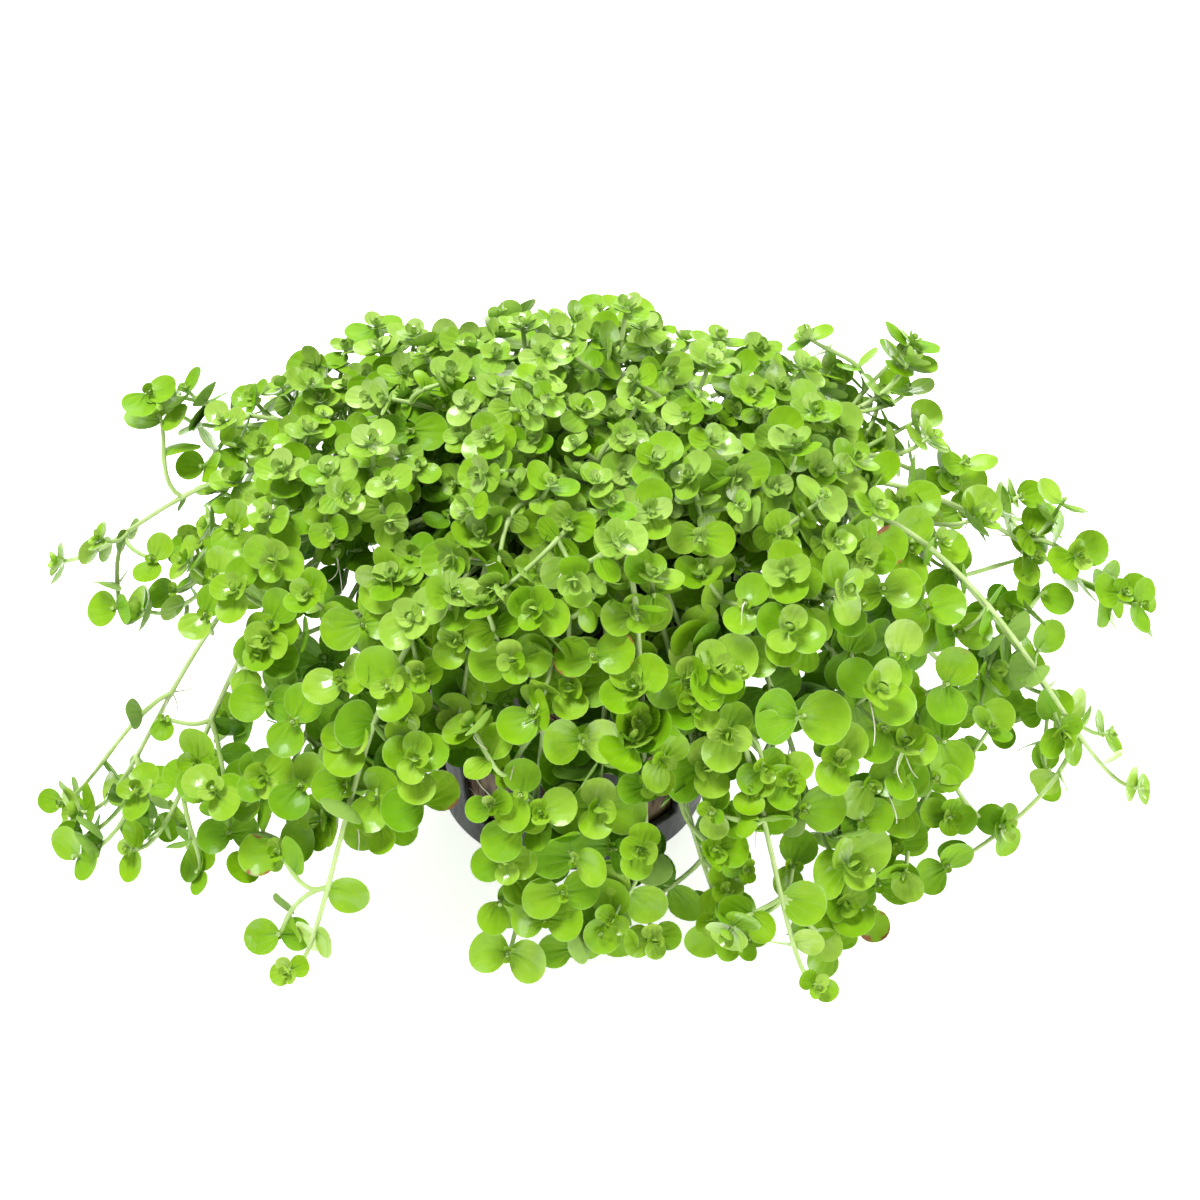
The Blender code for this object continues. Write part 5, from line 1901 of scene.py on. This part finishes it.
@dataclass(frozen=True)
class Hairs:
    """A scatter of fibres or roots: how many there are, and their length, thickness, bow and turn."""

    name: str
    per_square_cm: float
    length: float
    radius: float
    bow: float
    turn: float
    seed: int

    SIDES = 4
    STEPS = 6
    PATTERNS = 3

    def pattern(self, number: int) -> Object:
        """Build one closed, curved hair along Y, 1 long, with Z out of the plug."""
        chance = random.Random(self.seed + number)
        bends = [chance.uniform(-1, 1) for _ in range(3)]
        thin = self.radius / self.length
        bm = bmesh.new()
        rings = []
        for i in range(self.STEPS + 1):
            t = i / self.STEPS
            aside = self.bow * (bends[0] * sin(pi * t) + bends[1] * sin(tau * t))
            width = thin * (1.0 - 0.6 * abs(2.0 * t - 1.0) ** 3)
            rise = thin * (0.7 + 0.5 * bends[2] * sin(pi * t))
            rings.append([bm.verts.new((aside + width * cos(a), t - 0.5, rise + width * sin(a)))
                          for a in (tau * k / self.SIDES for k in range(self.SIDES))])
        skin_rings(bm, rings)
        bm.faces.new(rings[0])
        bm.faces.new(rings[-1])
        bmesh.ops.recalc_face_normals(bm, faces=bm.faces)
        mesh = close_mesh(bm, f"{self.name.lower()}_{number}")
        mesh.shade_smooth()
        return bpy.data.objects.new(mesh.name, mesh)

    def patterns(self) -> PatternSet:
        """Build the patterns of this kind."""
        return PatternSet(f"{self.name.lower()}_patterns", map(self.pattern, range(self.PATTERNS)))

    def values(self, patterns: PatternSet, finish: Material) -> dict[str, object]:
        """Give the scatter's inputs by their names in the tree."""
        values = {"patterns": patterns.collection, "density": self.per_square_cm * 1e4,
                  "length": self.length * MM, "turn": radians(self.turn), "seed": self.seed,
                  "finish": finish}
        return {f"{self.name} {label}": value for label, value in values.items()}


@dataclass
class HairCoat:
    """The Geometry Nodes that lay fibres and roots over the plug's side."""

    wool: Material
    root: Material

    FIBRES = Hairs("Fibres", 16.0, 4.2, 0.10, 0.10, 42.0, 11)
    ROOTS = Hairs("Roots", 1.6, 7.0, 0.14, 0.16, 75.0, 23)
    KINDS = {"patterns": "Collection", "density": "Float", "length": "Float", "turn": "Float", "seed": "Int",
             "finish": "Material"}
    STEEPEST_SIDE = 0.5
    LOWEST_HAIR = 9.0

    def __post_init__(self) -> None:
        """Build the tree."""
        self.graph = DressingGraph("plug_hairs", {
            f"{hairs.name} {label}": kind
            for hairs in (self.FIBRES, self.ROOTS) for label, kind in self.KINDS.items()})
        self.graph.close([self.scatter(self.ROOTS.name), self.scatter(self.FIBRES.name),
                          self.graph.given["Geometry"]])

    def scatter(self, name: str) -> Value:
        """Scatter one kind of hair over the side, laid flat and turned by chance from upright."""
        graph, given = self.graph, self.graph.given
        slope = abs(graph.axis(graph.value("GeometryNodeInputNormal"), "Z"))
        height = graph.axis(graph.value("GeometryNodeInputPosition"), "Z")
        side = (slope < self.STEEPEST_SIDE) * (height > self.LOWEST_HAIR * MM)
        seed, most = given[f"{name} seed"], given[f"{name} turn"]
        points = graph.add("GeometryNodeDistributePointsOnFaces", {
            "Mesh": given["Geometry"], "Selection": side, "Density": given[f"{name} density"], "Seed": seed})
        points, normal = (Value(graph, points.outputs[output]) for output in ("Points", "Normal"))
        flat = graph.value("FunctionNodeAlignRotationToVector", {"Vector": normal}, axis="Z")
        upright = graph.value("FunctionNodeAlignRotationToVector", {"Rotation": flat, "Vector": tuple(UP)},
                              axis="Y", pivot_axis="Z")
        angle = graph.value("FunctionNodeRandomValue", {2: most * -1.0, 3: most, "Seed": seed}, 1,
                            data_type="FLOAT")
        spin = graph.value("FunctionNodeAxisAngleToRotation", {"Axis": tuple(UP), "Angle": angle})
        turned = graph.value("FunctionNodeRotateRotation", {"Rotation": upright, "Rotate By": spin},
                             rotation_space="LOCAL")
        share = graph.value("FunctionNodeRandomValue", {2: 0.6, 3: 1.25, "Seed": 5}, 1, data_type="FLOAT")
        copies = graph.copies(points, f"{name} patterns",
                              {"Rotation": turned, "Scale": given[f"{name} length"] * share})
        return graph.coat(copies, f"{name} finish")

    def cover(self, name: str, body: Mesh) -> Object:
        """Lay the hairs over a plug's body and give the finished piece."""
        body.materials.append(self.wool)
        fibres, roots = self.FIBRES.patterns(), self.ROOTS.patterns()
        piece = self.graph.run(name, body, {**self.FIBRES.values(fibres, self.wool),
                                            **self.ROOTS.values(roots, self.root)})
        fibres.remove()
        roots.remove()
        return piece


@dataclass
class WoolPlug:
    """The fibrous plug that fills the pot."""

    columns: int = 96
    rows: int = 36
    roughness: float = 0.35
    chamfer: float = 1.5
    foot: float = 1.8 + PLUG_GAP

    TOP_RINGS = (1.0, 0.85, 0.7, 0.55, 0.4, 0.25, 0.1)

    def radius(self, height: float) -> float:
        """Give the plug's even radius at a height."""
        return pot_radius(height) - POT_WALL - PLUG_GAP - 0.15

    def profile(self) -> list[tuple[float, float]]:
        """Give the plug's cross section as (radius, height), from its foot's middle to its top's."""
        profile = [(self.radius(self.foot) * share, self.foot) for share in (0.0, 0.5, 1.0)]
        for i in range(1, self.rows):
            height = self.foot + (PLUG_TOP - self.chamfer - self.foot) * i / self.rows
            profile.append((self.radius(height), height))
        top = self.radius(PLUG_TOP) - self.chamfer
        return profile + [(top * share, PLUG_TOP) for share in self.TOP_RINGS] + [(0.0, PLUG_TOP)]

    def rough_spot(self, radius: float, height: float, angle: float) -> Vector:
        """Give a point of the surface, sunk unevenly: down where it is narrow, inward where it is wide."""
        spot = Vector((radius * cos(angle), radius * sin(angle), height))
        rough = noise.noise(spot * 0.45) * 0.6 + noise.noise(spot * 1.3) * 0.4
        inward = -self.roughness * (0.5 + rough)
        if height <= self.foot:
            return spot
        on_top = radius < (self.radius(PLUG_TOP) - self.chamfer) * 0.99
        return spot + (UP * inward * 1.4 if on_top else spot.normalized() * inward)

    def body(self) -> Mesh:
        """Build the rough body of the plug."""
        bm = bmesh.new()
        rings = []
        for radius, height in self.profile():
            if radius == 0.0:
                rings.append([bm.verts.new((0.0, 0.0, height))] * self.columns)
            else:
                rings.append([bm.verts.new(self.rough_spot(radius, height, tau * c / self.columns))
                              for c in range(self.columns)])
        skin_rings(bm, rings)
        bmesh.ops.scale(bm, vec=(MM, MM, MM), verts=bm.verts)
        bmesh.ops.recalc_face_normals(bm, faces=bm.faces)
        mesh = close_mesh(bm, "plug_body")
        mesh.shade_smooth()
        return mesh


@dataclass
class Studio:
    """The pale floor, the soft lights and the camera at the photograph's angle."""

    sensor: float = 36.0
    floor_size: float = 6.0
    floor_below: float = 0.05
    sky: float = 0.48

    LIGHTS = (("key", (-0.24, -0.06, 0.82), 0.27, 7.6), ("fill", (0.75, -0.30, 0.35), 0.5, 3.8),
              ("back", (0.10, 0.6, 0.55), 0.5, 4.6))
    AIM = Vector((0.0, 0.0, 0.03))

    def build(self) -> None:
        """Set up everything that isn't the plant."""
        self.floor()
        self.camera()
        self.lights()

    def floor(self) -> None:
        """Lay a plain pale floor under the pot."""
        bm = bmesh.new()
        bmesh.ops.create_grid(bm, x_segments=4, y_segments=4, size=self.floor_size / 2)
        mesh = close_mesh(bm, "pale_floor")
        mesh.transform(Matrix.Translation((0.0, 0.0, -self.floor_below * MM)))
        mesh.materials.append(FloorFinish().material())
        place_object("pale_floor", mesh)

    def camera(self) -> None:
        """Look at the plant as the photograph does."""
        camera = bpy.data.cameras.new("camera")
        camera.sensor_width, camera.clip_start = self.sensor, 0.01
        camera.lens = self.sensor * VIEW.focal / VIEW.frame
        holder = place_object("camera", camera)
        holder.location = Vector(VIEW.place) * MM
        holder.rotation_euler = (radians(90.0 - VIEW.elevation), 0.0, 0.0)
        bpy.context.scene.camera = holder

    def lights(self) -> None:
        """Light it softly from above, with a fill from the side and a sky that only the camera sees white."""
        scene = bpy.context.scene
        scene.view_settings.view_transform = "Standard"
        scene.world = bpy.data.worlds.new("studio")
        scene.world.use_nodes = True
        graph = Graph(scene.world.node_tree)
        seen = graph.value("ShaderNodeLightPath", output="Is Camera Ray")
        strength = graph.rise(seen, 0.0, 1.0, self.sky, 1.0)
        graph.feed(graph.tree.nodes["Background"], {"Color": WHITE, "Strength": strength})
        for name, place, size, power in self.LIGHTS:
            lamp = bpy.data.lights.new(name, "AREA")
            lamp.size, lamp.energy = size, power
            holder = place_object(name, lamp)
            holder.location = place
            holder.rotation_euler = (self.AIM - Vector(place)).to_track_quat("-Z", "Y").to_euler()


def main() -> None:
    """Build the pot, the plug and the plant, then the studio round them."""
    logging.basicConfig(level=logging.INFO, format="%(message)s")
    finish_piece(NetPot().build(), "pot_plastic", "pot")
    rootlet = RootletFinish().material()
    plug = HairCoat(WoolFinish().material(), rootlet).cover("plug_wool", WoolPlug().body())
    finish_piece(plug, "growing_wool", "plug")
    Plant(STEMS, SHOOTS, BLEMISHES, STRANDS).build(rootlet)
    Studio().build()


if __name__ == "__main__":
    main()
